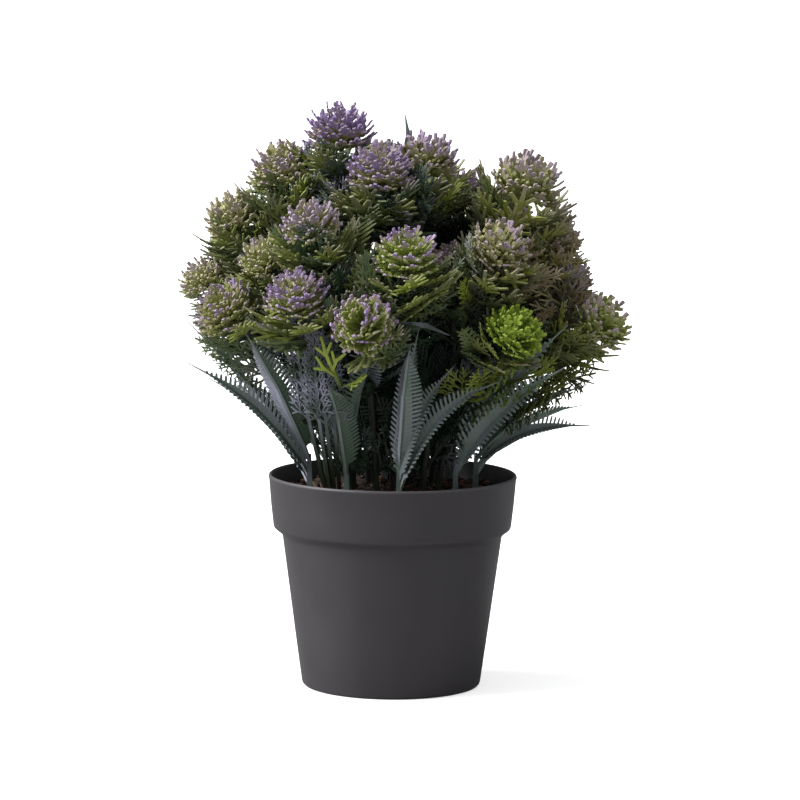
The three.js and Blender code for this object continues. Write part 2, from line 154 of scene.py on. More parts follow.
# %% Grow a tapered shoot
# The first size is the base. Every step is a rise with the width and depth that the shoot has at its end.
def grown_shoot(name, base, steps):
    deselect_all()
    bpy.ops.mesh.primitive_cube_add(size=1)
    shoot = bpy.context.object
    shoot.name = name
    bpy.ops.object.mode_set(mode="EDIT")
    bpy.ops.mesh.select_mode(type="FACE")
    bpy.ops.transform.translate(value=(0, 0, 0.5))
    height, width, depth = steps[0]
    bpy.ops.transform.resize(value=(base[0], base[1], height), center_override=(0, 0, 0))
    near_top = 0.999 * height
    pick_faces(shoot, lambda face: face.calc_center_median().z > near_top)
    bpy.ops.transform.resize(value=(width / base[0], depth / base[1], 1), center_override=(0, 0, height))
    for rise, next_width, next_depth in steps[1:]:
        bpy.ops.mesh.extrude_region_move(TRANSFORM_OT_translate={"value": (0, 0, rise)})
        height += rise
        ratio = (next_width / width, next_depth / depth, 1)
        bpy.ops.transform.resize(value=ratio, center_override=(0, 0, height))
        width, depth = next_width, next_depth
    bpy.ops.object.mode_set(mode="OBJECT")
    return shoot

# %% [markdown]
# Colour on such a plant changes from root to tip, so every vertex carries how far along its sprig it is.
# The materials read these numbers as attributes, which keeps the colour in place whatever the sprig's turn.

# %% Numbers that ride on the vertices
def set_attribute(piece, name, value_of):
    mesh = piece.data
    attribute = mesh.attributes.get(name) or mesh.attributes.new(name, "FLOAT", "POINT")
    if callable(value_of):
        values = [value_of(vertex.co) for vertex in mesh.vertices]
    else:
        values = [value_of] * len(mesh.vertices)
    attribute.data.foreach_set("value", values)


def set_attributes(piece, **values):
    for name, value in values.items():
        set_attribute(piece, name, value)


def clamp(value, low=0.0, high=1.0):
    return max(low, min(high, value))

# %% [markdown]
# ## Layout
#
# The plan of the plant, in millimetres, the same as the solids have. Every stem has a foot in the soil, a
# fork, some heads as name, middle of the dome and radius, and sprays as root, tip and roll in radians.
# Every shoot has its leaves as tip, greatest width, roll in degrees, and how steeply each one rises before
# it leans out.

# %% The plan
STEMS = [
    {"name": "crown", "foot": (0, 2), "fork": (-4, 4, 205), "heads": [
        ("crown_tip", -27, -4, 267, 17.5), ("crown_front", -7, -28, 250, 17.5),
        ("crown_right", 14, -2, 254, 17), ("crown_back", -8, 38, 248, 16),
    ], "sprays": [
        (-8.4, 2.7, 219.9, -12.8, 12.6, 258.3, -0.43), (-5.5, -14, 225.7, -0.7, -54.5, 231.5, 0.01),
        (8.1, -0.3, 231.6, 8.7, -48.5, 240.4, -0.86), (-6.2, 23.5, 225.7, -27.8, 52.7, 240.2, 1.11),
        (-2.7, 3.3, 184.6, -18.4, -6.2, 223, 0.88), (-20.7, -2.3, 244.2, -34.3, 44.3, 259.2, -0.26),
    ]},
    {"name": "left", "foot": (-19, 4), "fork": (-38, 3, 178), "heads": [
        ("left_high", -54, 0, 249, 16.5), ("left_mid", -77, 0, 226, 15), ("left_low", -91, -2, 196, 13),
    ], "sprays": [
        (-44.3, 1, 214.4, -65, -16.9, 246, 1.04), (-63.5, 0.4, 209.8, -57.1, 15.1, 242.3, 0.23),
        (-53.8, 1.2, 185.6, -43.3, -12.2, 230.7, -0.7), (-28.2, 3.5, 152.7, -15.4, 7.6, 184.6, -1.2),
    ]},
    {"name": "front_left", "foot": (-20, -14), "fork": (-36, -20, 164), "heads": [
        ("front_left_high", -61, -33, 209, 13.5), ("front_left_low", -78, -44, 186, 16),
    ], "sprays": [
        (-43.1, -23.3, 179.7, -12, -33, 190.9, -0.23), (-54.3, -30.2, 174.7, -74.8, -19.6, 200.1, 0.03),
        (-26.8, -16.6, 139.8, -51.2, -2.9, 166, 1.02),
    ]},
    {"name": "front", "foot": (-8, -22), "fork": (-13, -34, 166), "heads": [
        ("front_high", -39, -50, 227, 14.5), ("front_side", -45, -68, 194, 16.5),
        ("front_low", -14, -86, 184, 15.5), ("front_mid", 6, -66, 214, 16.5),
    ], "sprays": [
        (-19.8, -38.1, 186.2, -8.2, -57, 214.2, 0.5), (-24.5, -45.2, 177.9, -13.7, -76, 206.2, -0.19),
        (-12.7, -55.9, 174.5, 28.2, -33, 172, -0.45), (-1.2, -48.8, 191.8, 36, -59, 206.7, 1.11),
        (-10.4, -27.8, 144.2, 1.6, -65.4, 175.3, 0.8), (-25.2, -39.8, 197.2, -16.4, -50.8, 238.6, -1.2),
    ]},
    {"name": "front_right", "foot": (14, -20), "fork": (28, -26, 160), "heads": [
        ("front_right_high", 49, -51, 217, 16), ("front_right_inner", 28, -27, 207, 12.5),
        ("front_right_low", 56, -63, 178, 15),
    ], "sprays": [
        (40.3, -41.1, 199.1, 79.5, -37.8, 201.1, 1.02), (27.7, -25.1, 176.5, 72.5, -11.1, 171.3, 0.82),
        (43.8, -47.5, 169.8, 78, -37.7, 183.3, 0.49), (17.4, -21.5, 126.8, 0.5, -21.1, 168, -0.3),
    ]},
    {"name": "right", "foot": (22, -2), "fork": (44, -4, 168), "heads": [
        ("right_high", 63, -5, 244, 18), ("right_mid", 77, -5, 217, 13.5), ("right_low", 98, -14, 178, 16.5),
        ("right_back", 85, 20, 196, 12),
    ], "sprays": [
        (51.7, -4.3, 209.9, 47.8, -18.3, 246.4, 1.06), (53.5, -4.3, 184.4, 58.7, 30.3, 191.2, 0.32),
        (80.5, -11.2, 171.8, 82.2, -22.5, 212.8, 0.68), (61.4, 7.2, 181.4, 62.4, -7.7, 222.7, 1.16),
        (25.1, -2.3, 122.1, 57.5, 20.4, 134.9, 0.67), (50.6, -4.4, 196.9, 43, 16.9, 236.4, 0.7),
    ]},
    {"name": "back_right", "foot": (19, 14), "fork": (36, 24, 170), "heads": [
        ("back_right_inner", 34, 26, 236, 14), ("back_right_high", 52, 50, 224, 16),
        ("back_right_mid", 75, 50, 210, 13.5), ("back_right_low", 86, 50, 176, 14),
    ], "sprays": [
        (36.9, 24.9, 185.9, 52.2, 37.6, 220.4, -0.53), (41.4, 33.4, 192.6, 9, 7.7, 194.9, -0.71),
        (51.6, 34.2, 188.4, 65, 24.2, 221.5, 1.06), (61.8, 36.9, 172.1, 82.3, 4.6, 139.8, -0.77),
        (21.4, 15.4, 123.1, 22.5, 32, 154.2, -0.47), (31.1, 23, 212.6, 58, 32.8, 239.6, -0.41),
    ]},
    {"name": "back", "foot": (7, 23), "fork": (16, 42, 168), "heads": [
        ("back_high", 13, 67, 228, 16), ("back_mid", 22, 90, 196, 15), ("back_low", 54, 77, 184, 15),
    ], "sprays": [
        (15.7, 48.8, 186.9, 10.8, 79.2, 217.5, -0.65), (18.1, 58, 179.6, 41, 82.6, 203.2, -0.01),
        (24.3, 49.7, 174.3, 40.7, 82.5, 172.5, -1.17), (9, 27.2, 129, 0.9, 57.1, 154.7, -0.94),
    ]},
    {"name": "back_left", "foot": (-12, 21), "fork": (-20, 40, 165), "heads": [
        ("back_left_high", -30, 74, 208, 16), ("back_left_low", -19, 93, 174, 14.5),
    ], "sprays": [
        (-23.5, 53.6, 184.9, -20.8, 39.5, 218.2, -0.35), (-18.6, 61, 169.5, -15.3, 91.5, 195.8, -0.25),
        (-15.7, 29.8, 142.3, -31.1, 53.4, 170.1, -0.2),
    ]},
    {"name": "left_back", "foot": (-22, 16), "fork": (-40, 26, 166), "heads": [
        ("left_back_high", -47, 42, 236, 16), ("left_back_mid", -71, 40, 206, 14.5),
        ("left_back_low", -61, 74, 178, 15), ("left_back_side", -84, 36, 172, 13),
    ], "sprays": [
        (-41.8, 31.6, 197, -64.2, 25, 225.2, -1.04), (-46.3, 28.8, 176.3, -68.2, 60.1, 174.2, -0.08),
        (-50.8, 57.3, 171.6, -51.6, 65.4, 215.5, 0.47), (-60, 29.4, 168.5, -63, 42.1, 204.7, 0.13),
        (-35, 23.2, 155.3, -31.1, 16.9, 189, 0.97), (-42.6, 30.1, 187.5, -90.2, 20, 193.2, -0.8),
    ]},
]

SHOOTS = [
    {"name": "left", "foot": (-40, -12), "leaves": [
        (-71, -54, 179, 18, 25, 0.45), (-99, -14, 178, 14, -22, 0.42), (-98, -32, 160, 15, -62, 0.62),
        (-90, 8, 148, 14, -30, 0.7),
    ]},
    {"name": "front_left", "foot": (-22, -33), "leaves": [
        (-6, -62, 177, 16, 28, 0.66), (-31, -70, 156, 17, -8, 0.66),
    ]},
    {"name": "front", "foot": (3, -38), "leaves": [
        (8, -76, 174.5, 18, -48, 0.66), (12, -52, 180.5, 13, -20, 0.6), (28, -58, 162, 14, 90, 0.66),
        (50, -60, 155.5, 15, 70, 0.8),
    ]},
    {"name": "front_right", "foot": (30, -27), "leaves": [
        (82, -46, 181, 18, 88, 0.5), (81, -60, 163, 17, 84, 0.6),
    ]},
    {"name": "right", "foot": (40, -3), "leaves": [
        (92, -24, 150, 16, 50, 0.66), (95, 2, 127, 16, 40, 1.1), (93, 26, 134, 15, -20, 0.9),
    ]},
    {"name": "back_right", "foot": (27, 30), "leaves": [
        (80, 58, 156, 15, -30, 0.66), (62, 84, 146, 15, 20, 0.66), (36, 92, 158, 14, 30, 0.66),
    ]},
    {"name": "back", "foot": (-4, 39), "leaves": [
        (12, 102, 148, 15, -25, 0.66), (-34, 96, 150, 15, 25, 0.66),
    ]},
    {"name": "back_left", "foot": (-33, 23), "leaves": [
        (-62, 82, 150, 15, 25, 0.66), (-86, 50, 142, 15, 40, 0.66),
    ]},
]

HEADS_LOOK_AWAY_FROM = Vector((0, 0, 128))
HEAD_NECK = 0.5
HEAD_LIFT = {"front_low": 0.0, "front_side": 0.6, "front_mid": 0.5}
USUAL_LIFT = 0.35
SOIL_TOP = 94.5
SHOOT_TOP = 112
SHOOT_STEP = 3.8


def head_axis(head):
    outward = (Vector(head[1:4]) - HEADS_LOOK_AWAY_FROM).normalized()
    return outward.lerp(UP, HEAD_LIFT.get(head[0], USUAL_LIFT)).normalized()


all_heads = [(Vector(head[1:4]), head[4]) for stem in STEMS for head in stem["heads"]]
print("stems:", len(STEMS), "shoots:", len(SHOOTS), "heads:", len(all_heads))

# %% [markdown]
# ## Materials
#
# Everything is moulded plastic, but it isn't one plastic. One node group holds what all finishes share: a
# fine grain and larger patches. The colour of a sprig or leaf then runs from root to tip by the numbers
# that its vertices carry.

# %% Node helpers
def new_material(name):
    material = bpy.data.materials.new(name)
    material.use_nodes = True
    tree = material.node_tree
    return material, tree, tree.nodes["Principled BSDF"]


def add_node(tree, kind, inputs=None, **settings):
    node = tree.nodes.new(kind)
    for key, value in settings.items():
        setattr(node, key, value)
    for key, value in (inputs or {}).items():
        if isinstance(value, bpy.types.NodeSocket):
            tree.links.new(value, node.inputs[key])
        else:
            node.inputs[key].default_value = value
    return node


def attribute_values(tree, *names):
    return [add_node(tree, "ShaderNodeAttribute", attribute_name=name).outputs["Fac"] for name in names]


def math_value(tree, operation, first, second, clamped=False):
    node = add_node(tree, "ShaderNodeMath", {0: first, 1: second}, operation=operation, use_clamp=clamped)
    return node.outputs[0]


def product(tree, first, second, clamped=False):
    return math_value(tree, "MULTIPLY", first, second, clamped)


def mixed(tree, factor, first, second):
    node = add_node(tree, "ShaderNodeMix", {"Factor": factor}, data_type="RGBA")
    for socket, value in ((node.inputs[6], first), (node.inputs[7], second)):
        if isinstance(value, bpy.types.NodeSocket):
            tree.links.new(value, socket)
        else:
            socket.default_value = (*value, 1)
    return node.outputs[2]


def spread(tree, value, low, high, new_low=0.0, new_high=1.0):
    inputs = {"Value": value, "From Min": low, "From Max": high, "To Min": new_low, "To Max": new_high}
    return add_node(tree, "ShaderNodeMapRange", inputs).outputs["Result"]


def ramp(tree, value, stops):
    node = add_node(tree, "ShaderNodeValToRGB", {"Fac": value})
    elements = node.color_ramp.elements
    elements[0].position, elements[1].position = stops[0][0], stops[-1][0]
    for position, colour in stops[1:-1]:
        elements.new(position)
    for element, (position, colour) in zip(elements, stops):
        element.color = (*colour, 1)
    return node.outputs["Color"]


def new_group(name, inputs, outputs):
    group = bpy.data.node_groups.new(name, "ShaderNodeTree")
    for label, kind, default in inputs:
        socket = group.interface.new_socket(label, in_out="INPUT", socket_type=kind)
        socket.default_value = default
    for label, kind in outputs:
        group.interface.new_socket(label, in_out="OUTPUT", socket_type=kind)
    return group, group.nodes.new("NodeGroupInput"), group.nodes.new("NodeGroupOutput")

# %% [markdown]
# Moulded plastic is never quite even: the tool leaves a fine grain, and the melt cools in larger patches. One
# node group gives both as plain values, measured on the object itself, and every finish mixes them its own
# way.

# %% Group: moulded grain
grain_group, grain_in, grain_out = new_group(
    "moulded grain",
    [("Grain Scale", "NodeSocketFloat", 900.0), ("Patch Scale", "NodeSocketFloat", 40.0)],
    [("Grain", "NodeSocketFloat"), ("Patches", "NodeSocketFloat")],
)
grain_place = add_node(grain_group, "ShaderNodeTexCoord").outputs["Object"]
grain_inputs = {"Vector": grain_place, "Scale": grain_in.outputs["Grain Scale"], "Detail": 3.0}
grain_noise = add_node(grain_group, "ShaderNodeTexNoise", grain_inputs)
patch_inputs = {"Vector": grain_place, "Scale": grain_in.outputs["Patch Scale"], "Detail": 4.0}
patch_noise = add_node(grain_group, "ShaderNodeTexNoise", patch_inputs)
patchy = spread(grain_group, patch_noise.outputs["Fac"], 0.35, 0.65)
grain_group.links.new(grain_noise.outputs["Fac"], grain_out.inputs["Grain"])
grain_group.links.new(patchy, grain_out.inputs["Patches"])


def add_grain(tree, grain_scale, patch_scale):
    node = tree.nodes.new("ShaderNodeGroup")
    node.node_tree = grain_group
    node.inputs["Grain Scale"].default_value = grain_scale
    node.inputs["Patch Scale"].default_value = patch_scale
    return node.outputs["Grain"], node.outputs["Patches"]


def add_bump(tree, shader, height, strength, distance):
    bump = add_node(tree, "ShaderNodeBump", {"Height": height, "Strength": strength, "Distance": distance})
    tree.links.new(bump.outputs["Normal"], shader.inputs["Normal"])


def complete(tree, shader, colour, roughness, grain, strength=0.3, distance=0.0003):
    tree.links.new(colour, shader.inputs["Base Color"])
    shader.inputs["Roughness"].default_value = roughness
    add_bump(tree, shader, grain, strength, distance)

# %% [markdown]
# The pot's plastic is charcoal with a soft, slightly uneven sheen. Its raised edges are painted a little
# paler, partly as rubbed wear and partly as a painted highlight, and the outside has faint flow lines from
# the mould.

# %% Pot plastic
pot_material, tree, shader = new_material("charcoal plastic")
grain, patches = add_grain(tree, 1400.0, 26.0)
object_place = add_node(tree, "ShaderNodeTexCoord").outputs["Object"]
flow_inputs = {"Vector": object_place, "Scale": (60.0, 60.0, 5.0)}
flow_place = add_node(tree, "ShaderNodeMapping", flow_inputs).outputs[0]
flow_noise = add_node(tree, "ShaderNodeTexNoise", {"Vector": flow_place, "Scale": 1.0, "Detail": 4.0})
flow = flow_noise.outputs["Fac"]
body_colour = mixed(tree, patches, (0.036, 0.032, 0.037), (0.045, 0.040, 0.046))
body_colour = mixed(tree, spread(tree, flow, 0.3, 0.75, 0.0, 0.5), body_colour, (0.053, 0.048, 0.054))
# Raised edges are painted paler: partly rubbed wear, partly a painted highlight.
edge = add_node(tree, "ShaderNodeNewGeometry").outputs["Pointiness"]
worn_and_highlit = spread(tree, edge, 0.52, 0.60, 0.0, 0.55)
tree.links.new(mixed(tree, worn_and_highlit, body_colour, (0.17, 0.165, 0.175)), shader.inputs["Base Color"])
tree.links.new(spread(tree, patches, 0.0, 1.0, 0.46, 0.58), shader.inputs["Roughness"])
add_bump(tree, shader, grain, 0.25, 0.0002)

# %% [markdown]
# Soil is the one rough finish. A bed vertex has a chip number of zero and takes the brown of peat. A chip
# has a number of its own that picks dark bark, now and then rust or straw.

# %% Soil
soil_material, tree, shader = new_material("dark soil")
grain, patches = add_grain(tree, 700.0, 120.0)
soil_colour = mixed(tree, patches, (0.020, 0.013, 0.009), (0.060, 0.036, 0.022))
chip_shade = attribute_values(tree, "chip")[0]
bark_browns = [(0.0, (0.030, 0.018, 0.012)), (0.55, (0.070, 0.045, 0.028))]
rust_and_straw = [(0.82, (0.200, 0.070, 0.030)), (0.92, (0.150, 0.120, 0.090)), (1.0, (0.240, 0.190, 0.100))]
chip_colour = ramp(tree, chip_shade, bark_browns + rust_and_straw)
is_chip = spread(tree, chip_shade, 0.0, 0.02)
complete(tree, shader, mixed(tree, is_chip, soil_colour, chip_colour), 0.92, grain, 0.8, 0.001)

# %% [markdown]
# Sprigs run from nearly black, painted as shade deep in the bush, to yellow green outside. Some are browned,
# some are dusted with grey lilac above their stalks, and those below a head blush at their tips, as its paint
# drifted on to them.

# %% Sprigs and stems
foliage_material, tree, shader = new_material("green sprig plastic")
grain, patches = add_grain(tree, 500.0, 55.0)
along, shade, dusting, blush, warmth = attribute_values(tree, "tip", "shade", "dust", "blush", "warmth")
varied = math_value(tree, "ADD", shade, spread(tree, patches, 0.0, 1.0, -0.12, 0.12))
# The dark end of this ramp is painted shade for sprigs deep in the bush.
deep_greens = [(0.0, (0.014, 0.030, 0.021)), (0.3, (0.038, 0.075, 0.036)), (0.55, (0.100, 0.140, 0.046))]
fresh_greens = [(0.8, (0.210, 0.240, 0.055)), (1.0, (0.280, 0.345, 0.040))]
green = ramp(tree, varied, deep_greens + fresh_greens)
brown = mixed(tree, along, (0.070, 0.045, 0.030), (0.240, 0.140, 0.080))
green = mixed(tree, warmth, green, brown)
colour = mixed(tree, spread(tree, along, 0.05, 0.55), (0.014, 0.021, 0.012), green)
dust_and_highlight = product(tree, spread(tree, patches, 0.1, 0.8), dusting, clamped=True)
dust_and_highlight = product(tree, dust_and_highlight, spread(tree, along, 0.15, 0.45))
colour = mixed(tree, dust_and_highlight, colour, (0.230, 0.230, 0.300))
blushed = product(tree, spread(tree, along, 0.72, 1.0), blush, clamped=True)
colour = mixed(tree, blushed, colour, (0.320, 0.235, 0.270))
complete(tree, shader, colour, 0.5, grain)

# %% [markdown]
# A comb leaf is blue green, a little paler on its ribs. The faces that look to the upper left, where the key
# light comes from, are painted pale lilac grey, partly as dust sprayed from there and partly as a painted
# highlight.

# %% Comb leaves
# Upper left, where the dust came from and where the painted highlight faces.
DUSTED_AND_LIT_FROM = (-0.75, -0.35, 0.45)
leaf_material, tree, shader = new_material("blue-green leaf plastic")
grain, patches = add_grain(tree, 600.0, 38.0)
rib, shade, dusting = attribute_values(tree, "rib", "shade", "dust")
green = mixed(tree, shade, (0.040, 0.078, 0.046), (0.175, 0.280, 0.170))
green = mixed(tree, product(tree, rib, 0.35), green, (0.190, 0.230, 0.200))
# Faces toward the upper left are painted pale: partly lilac dust, partly a painted highlight.
facing = add_node(tree, "ShaderNodeNewGeometry").outputs["Normal"]
toward_dust_and_light = add_node(tree, "ShaderNodeVectorMath", {0: facing, 1: DUSTED_AND_LIT_FROM}, operation="DOT_PRODUCT")
dust_and_highlight = product(tree, spread(tree, toward_dust_and_light.outputs["Value"], -0.1, 0.75), dusting, clamped=True)
dust_and_highlight = product(tree, dust_and_highlight, spread(tree, patches, 0.0, 0.6, 0.5, 1.0))
green = mixed(tree, dust_and_highlight, green, (0.500, 0.510, 0.640))
complete(tree, shader, green, 0.46, grain)

# %% [markdown]
# A head's forks are green at the root, painted lighter there as light shining through the thin plastic, and
# straw or lime further up. Mauve and then lilac begin where the spray reached them, which is further down the
# more bloom a head has. A pale straw is painted over the heads that stand in the light, most of all at the
# left, as painted light.

# %% Flower heads
head_material, tree, shader = new_material("lilac-tipped plastic")
grain, patches = add_grain(tree, 500.0, 90.0)
along, shade, bloom, warmth, lime, fading = attribute_values(
    tree, "tip", "shade", "bloom", "warmth", "lime", "fading"
)
# The root green is painted lighter than the plastic, as painted light shining through the thin forks.
root = mixed(tree, shade, (0.120, 0.145, 0.038), (0.225, 0.250, 0.070))
middle = mixed(tree, shade, (0.250, 0.265, 0.085), (0.400, 0.390, 0.165))
middle = mixed(tree, lime, middle, (0.270, 0.370, 0.038))
middle = mixed(tree, warmth, middle, (0.150, 0.095, 0.055))
stalk = mixed(tree, spread(tree, along, 0.2, 0.75), root, middle)
mauve = mixed(tree, warmth, (0.380, 0.310, 0.290), (0.200, 0.130, 0.115))
lilac = mixed(tree, patches, (0.225, 0.150, 0.320), (0.345, 0.250, 0.455))
lilac = mixed(tree, product(tree, warmth, 0.8), lilac, (0.150, 0.080, 0.110))
by_bloom = spread(tree, bloom, 0.0, 1.0, 0.86, 0.40)
start = math_value(tree, "ADD", by_bloom, spread(tree, shade, 0.0, 1.0, 0.12, -0.12))
sprayed = product(tree, math_value(tree, "SUBTRACT", along, start), 3.2, clamped=True)
sprayed = product(tree, sprayed, spread(tree, patches, 0.0, 0.6, 0.45, 1.0))
sprayed = product(tree, sprayed, spread(tree, bloom, 0.0, 0.05))
colour = mixed(tree, spread(tree, sprayed, 0.0, 0.5), stalk, mauve)
colour = mixed(tree, spread(tree, sprayed, 0.35, 0.9), colour, lilac)
# Painted light: heads that stand in the light are painted pale straw.
colour = mixed(tree, fading, colour, (0.580, 0.550, 0.320))
complete(tree, shader, colour, 0.55, grain)
finishes = (pot_material, soil_material, foliage_material, leaf_material, head_material)
print("materials:", [material.name for material in finishes])

# %% [markdown]
# ## Pot
#
# A moulded pot has a thin wall, a stiff band below its rim and a taper, so that pots stack. A pot like this
# is turned: the outline of its wall is drawn once, extruded point by point, and spun about the upright
# axis. An outline is a list of radius and height in millimetres.

# %% Spin the pot
POT_TURNS = 144


def spun(name, outline, turns):
    deselect_all()
    bpy.ops.mesh.primitive_plane_add(size=1)
    piece = bpy.context.object
    piece.name = piece.data.name = name
    bpy.ops.object.mode_set(mode="EDIT")
    bpy.ops.mesh.merge(type="CENTER")
    bpy.ops.mesh.select_mode(type="VERT")
    bpy.ops.transform.translate(value=(outline[0][0] * MM, 0, outline[0][1] * MM))
    for (r0, z0), (r1, z1) in zip(outline, outline[1:]):
        step = ((r1 - r0) * MM, 0, (z1 - z0) * MM)
        bpy.ops.mesh.extrude_vertices_move(TRANSFORM_OT_translate={"value": step})
    bpy.ops.mesh.select_all(action="SELECT")
    bpy.ops.mesh.spin(steps=turns, angle=2 * math.pi, center=(0, 0, 0), axis=(0, 0, 1))
    bpy.ops.mesh.select_all(action="SELECT")
    bpy.ops.mesh.remove_doubles(threshold=1e-6)
    bpy.ops.mesh.normals_make_consistent(inside=False)
    bpy.ops.object.mode_set(mode="OBJECT")
    bpy.ops.object.shade_smooth_by_angle(angle=math.radians(35))
    return piece


pot_outline = [
    (0, 0.0), (30, 0.0), (38.6, 0.0), (39.0, 0.35), (39.4, 0.35), (39.8, 0.0), (41.0, 0.0), (42.1, 0.35),
    (42.9, 1.1), (43.3, 2.2), (46.5, 25), (49.8, 49.5), (52.95, 72.6), (53.3, 73.9), (54.1, 74.8),
    (56.5, 76.6), (57.2, 77.3), (57.5, 78.3), (58.6, 88), (59.65, 100.4), (59.9, 101.3), (60.0, 102.0),
    (59.8, 102.6), (59.3, 103.0), (58.8, 102.95), (58.4, 102.6), (58.15, 101.9), (57.0, 91), (55.8, 79.8),
    (55.2, 78.7), (51.9, 75.6), (51.4, 74.3), (47.5, 43), (41.7, 3.8), (40.9, 3.1), (0, 3.0),
]
pot = spun("pot_body", pot_outline, POT_TURNS)
coat(pot, pot_material)
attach(pot, "root")
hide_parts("pot")
print("pot faces:", len(pot.data.polygons))

# %% [markdown]
# ## Soil
#
# The soil is a rough dark plug. It is spun like the pot, with many rings on top, so that its surface can be
# roughened by moving the points of the top at random.

# %% Bed of soil
SOIL_SEED = 41
SOIL_TURNS = 120
SOIL_RINGS = 18
soil_outline = [(0, 4), (41, 4), (50.8, 75.0), (54.9, 79.6), (56.2, 92.8), (55.2, 94.0)]
soil_outline += [(54 - 3 * ring, 94.6) for ring in range(SOIL_RINGS)] + [(0, 94.8)]
soil = spun("soil_bed", soil_outline, SOIL_TURNS)
rng = random.Random(SOIL_SEED)
activate(soil)
bpy.ops.object.mode_set(mode="EDIT")
pick_faces(soil, lambda face: face.calc_center_median().z > 94.2 * MM)
bpy.ops.transform.vertex_random(offset=0.9 * MM, uniform=0.4, normal=0.5, seed=SOIL_SEED)
bpy.ops.object.mode_set(mode="OBJECT")
set_attribute(soil, "chip", 0.0)

# %% [markdown]
# Flakes of bark lie on the soil. Four flakes are grown and jittered once, then copied flat on to the soil at
# random, with smaller ones near the wall. That looks like a heap of different chips at little cost.

# %% Bark chips
CHIPS = 230


def bark_chip(seed):
    steps = [(2.6 * MM, 3.9 * MM, 1.6 * MM), (2.4 * MM, 2.2 * MM, 1.0 * MM)]
    chip = grown_shoot("chip", (3.2 * MM, 1.3 * MM), steps)
    bpy.ops.object.mode_set(mode="EDIT")
    bpy.ops.mesh.select_all(action="SELECT")
    bpy.ops.transform.vertex_random(offset=0.7 * MM, uniform=1.0, seed=seed)
    bpy.ops.object.mode_set(mode="OBJECT")
    chip.data.transform(Matrix.Translation((0, 0, -2.5 * MM)))
    return chip


def random_turn(source):
    axis = Vector((source.gauss(0, 1), source.gauss(0, 1), source.gauss(0, 1))).normalized()
    return Quaternion(axis, source.uniform(0, 2 * math.pi)).to_matrix().to_4x4()


chip_templates = [bark_chip(seed) for seed in range(4)]
chips = []
for number in range(CHIPS):
    reach = 54.5 * math.sqrt(rng.random())
    angle = rng.uniform(0, 2 * math.pi)
    place = Vector((reach * math.cos(angle), reach * math.sin(angle), SOIL_TOP + rng.uniform(0.3, 1.9))) * MM
    size = rng.uniform(0.5, 1.05) if reach < 51 else rng.uniform(0.35, 0.6)
    flat = Matrix.Diagonal((size, size, 0.6 * size, 1))
    template = chip_templates[number % len(chip_templates)]
    chip = copy_of(template, Matrix.Translation(place) @ flat @ random_turn(rng))
    set_attribute(chip, "chip", rng.uniform(0.05, 1.0) ** 1.3)
    chips.append(chip)
remove(chip_templates)
soil = joined([soil] + chips, "soil_bed")
coat(soil, soil_material)
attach(soil, "root")
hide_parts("soil")
print("soil faces:", len(soil.data.polygons))

# %% [markdown]
# ## Sprigs
#
# The heads and the feathery greenery are all built from one small thing: a thin rib that forks into blunt
# ends. Ends fan out from a rib as a fork of three or a pair, and a few of those fan out from a longer rib,
# which is then bent slightly. The blooms end in fingers that swell like buds, the greenery in narrow stubs.
# Each sprig is one unit long.

# %% Forked sprigs
# Each place is what stands there, its height on the rib, its angle and its length.
def fanned(name, rib, places):
    parts = [rib]
    for branch, height, angle, length in places:
        turn = turned(angle, "Y")
        parts.append(copy_of(branch, Matrix.Translation((0, 0, height)) @ turn @ Matrix.Scale(length, 4)))
    return joined(parts, name)


def forked(name, end):
    rib = grown_shoot("rib", (0.12, 0.11), [(0.56, 0.11, 0.10)])
    return fanned(name, rib, [(end, 0.30, -40, 0.50), (end, 0.38, 40, 0.50), (end, 0.50, 0, 0.52)])


def paired(name, end):
    rib = grown_shoot("rib", (0.12, 0.11), [(0.60, 0.11, 0.10)])
    return fanned(name, rib, [(end, 0.36, -38, 0.52), (end, 0.50, 22, 0.52)])


# A bent sprig is turned and sized so that its farthest point is one unit straight up.
def arched(piece, bend):
    apply_modifier(piece, "SIMPLE_DEFORM", deform_method="BEND", deform_axis="X", angle=bend)
    farthest = max((vertex.co for vertex in piece.data.vertices), key=lambda place: place.length)
    straight = Matrix.Rotation(math.atan2(farthest.y, farthest.z), 4, "X")
    piece.data.transform(Matrix.Scale(1 / farthest.length, 4) @ straight)
    set_attribute(piece, "tip", lambda place: clamp(place.length))
    return piece


finger = grown_shoot("finger", (0.18, 0.13), [(0.60, 0.38, 0.20), (0.25, 0.33, 0.17)])
stub = grown_shoot("stub", (0.24, 0.16), [(1.0, 0.17, 0.08)])
bloom_fork, bloom_pair = forked("bloom_fork", finger), paired("bloom_pair", finger)
fork, pair = forked("fork", stub), paired("pair", stub)


def sprig(name, base, top, bend, places):
    return arched(fanned(name, grown_shoot("rib", base, [top]), places), bend)


wide_bloom = sprig("wide_bloom", (0.070, 0.055), (0.62, 0.058, 0.045), 0.7,
                   [(bloom_fork, 0.36, -40, 0.46), (bloom_fork, 0.44, 38, 0.46),
                    (bloom_fork, 0.56, -2, 0.46)])
slim_bloom = sprig("slim_bloom", (0.064, 0.052), (0.64, 0.054, 0.042), 0.6,
                   [(bloom_pair, 0.38, -38, 0.42), (bloom_pair, 0.47, 36, 0.42),
                    (bloom_fork, 0.57, -4, 0.44)])
slim_sprig = sprig("slim_sprig", (0.064, 0.052), (0.60, 0.054, 0.042), 0.6,
                   [(pair, 0.32, -40, 0.42), (pair, 0.42, 38, 0.42), (fork, 0.54, -4, 0.46)])
long_sprig = sprig("long_sprig", (0.046, 0.040), (0.82, 0.034, 0.030), 0.6,
                   [(pair, 0.34, -40, 0.36), (pair, 0.43, 36, 0.36), (fork, 0.53, -34, 0.35),
                    (fork, 0.63, 30, 0.33), (fork, 0.72, -2, 0.30)])
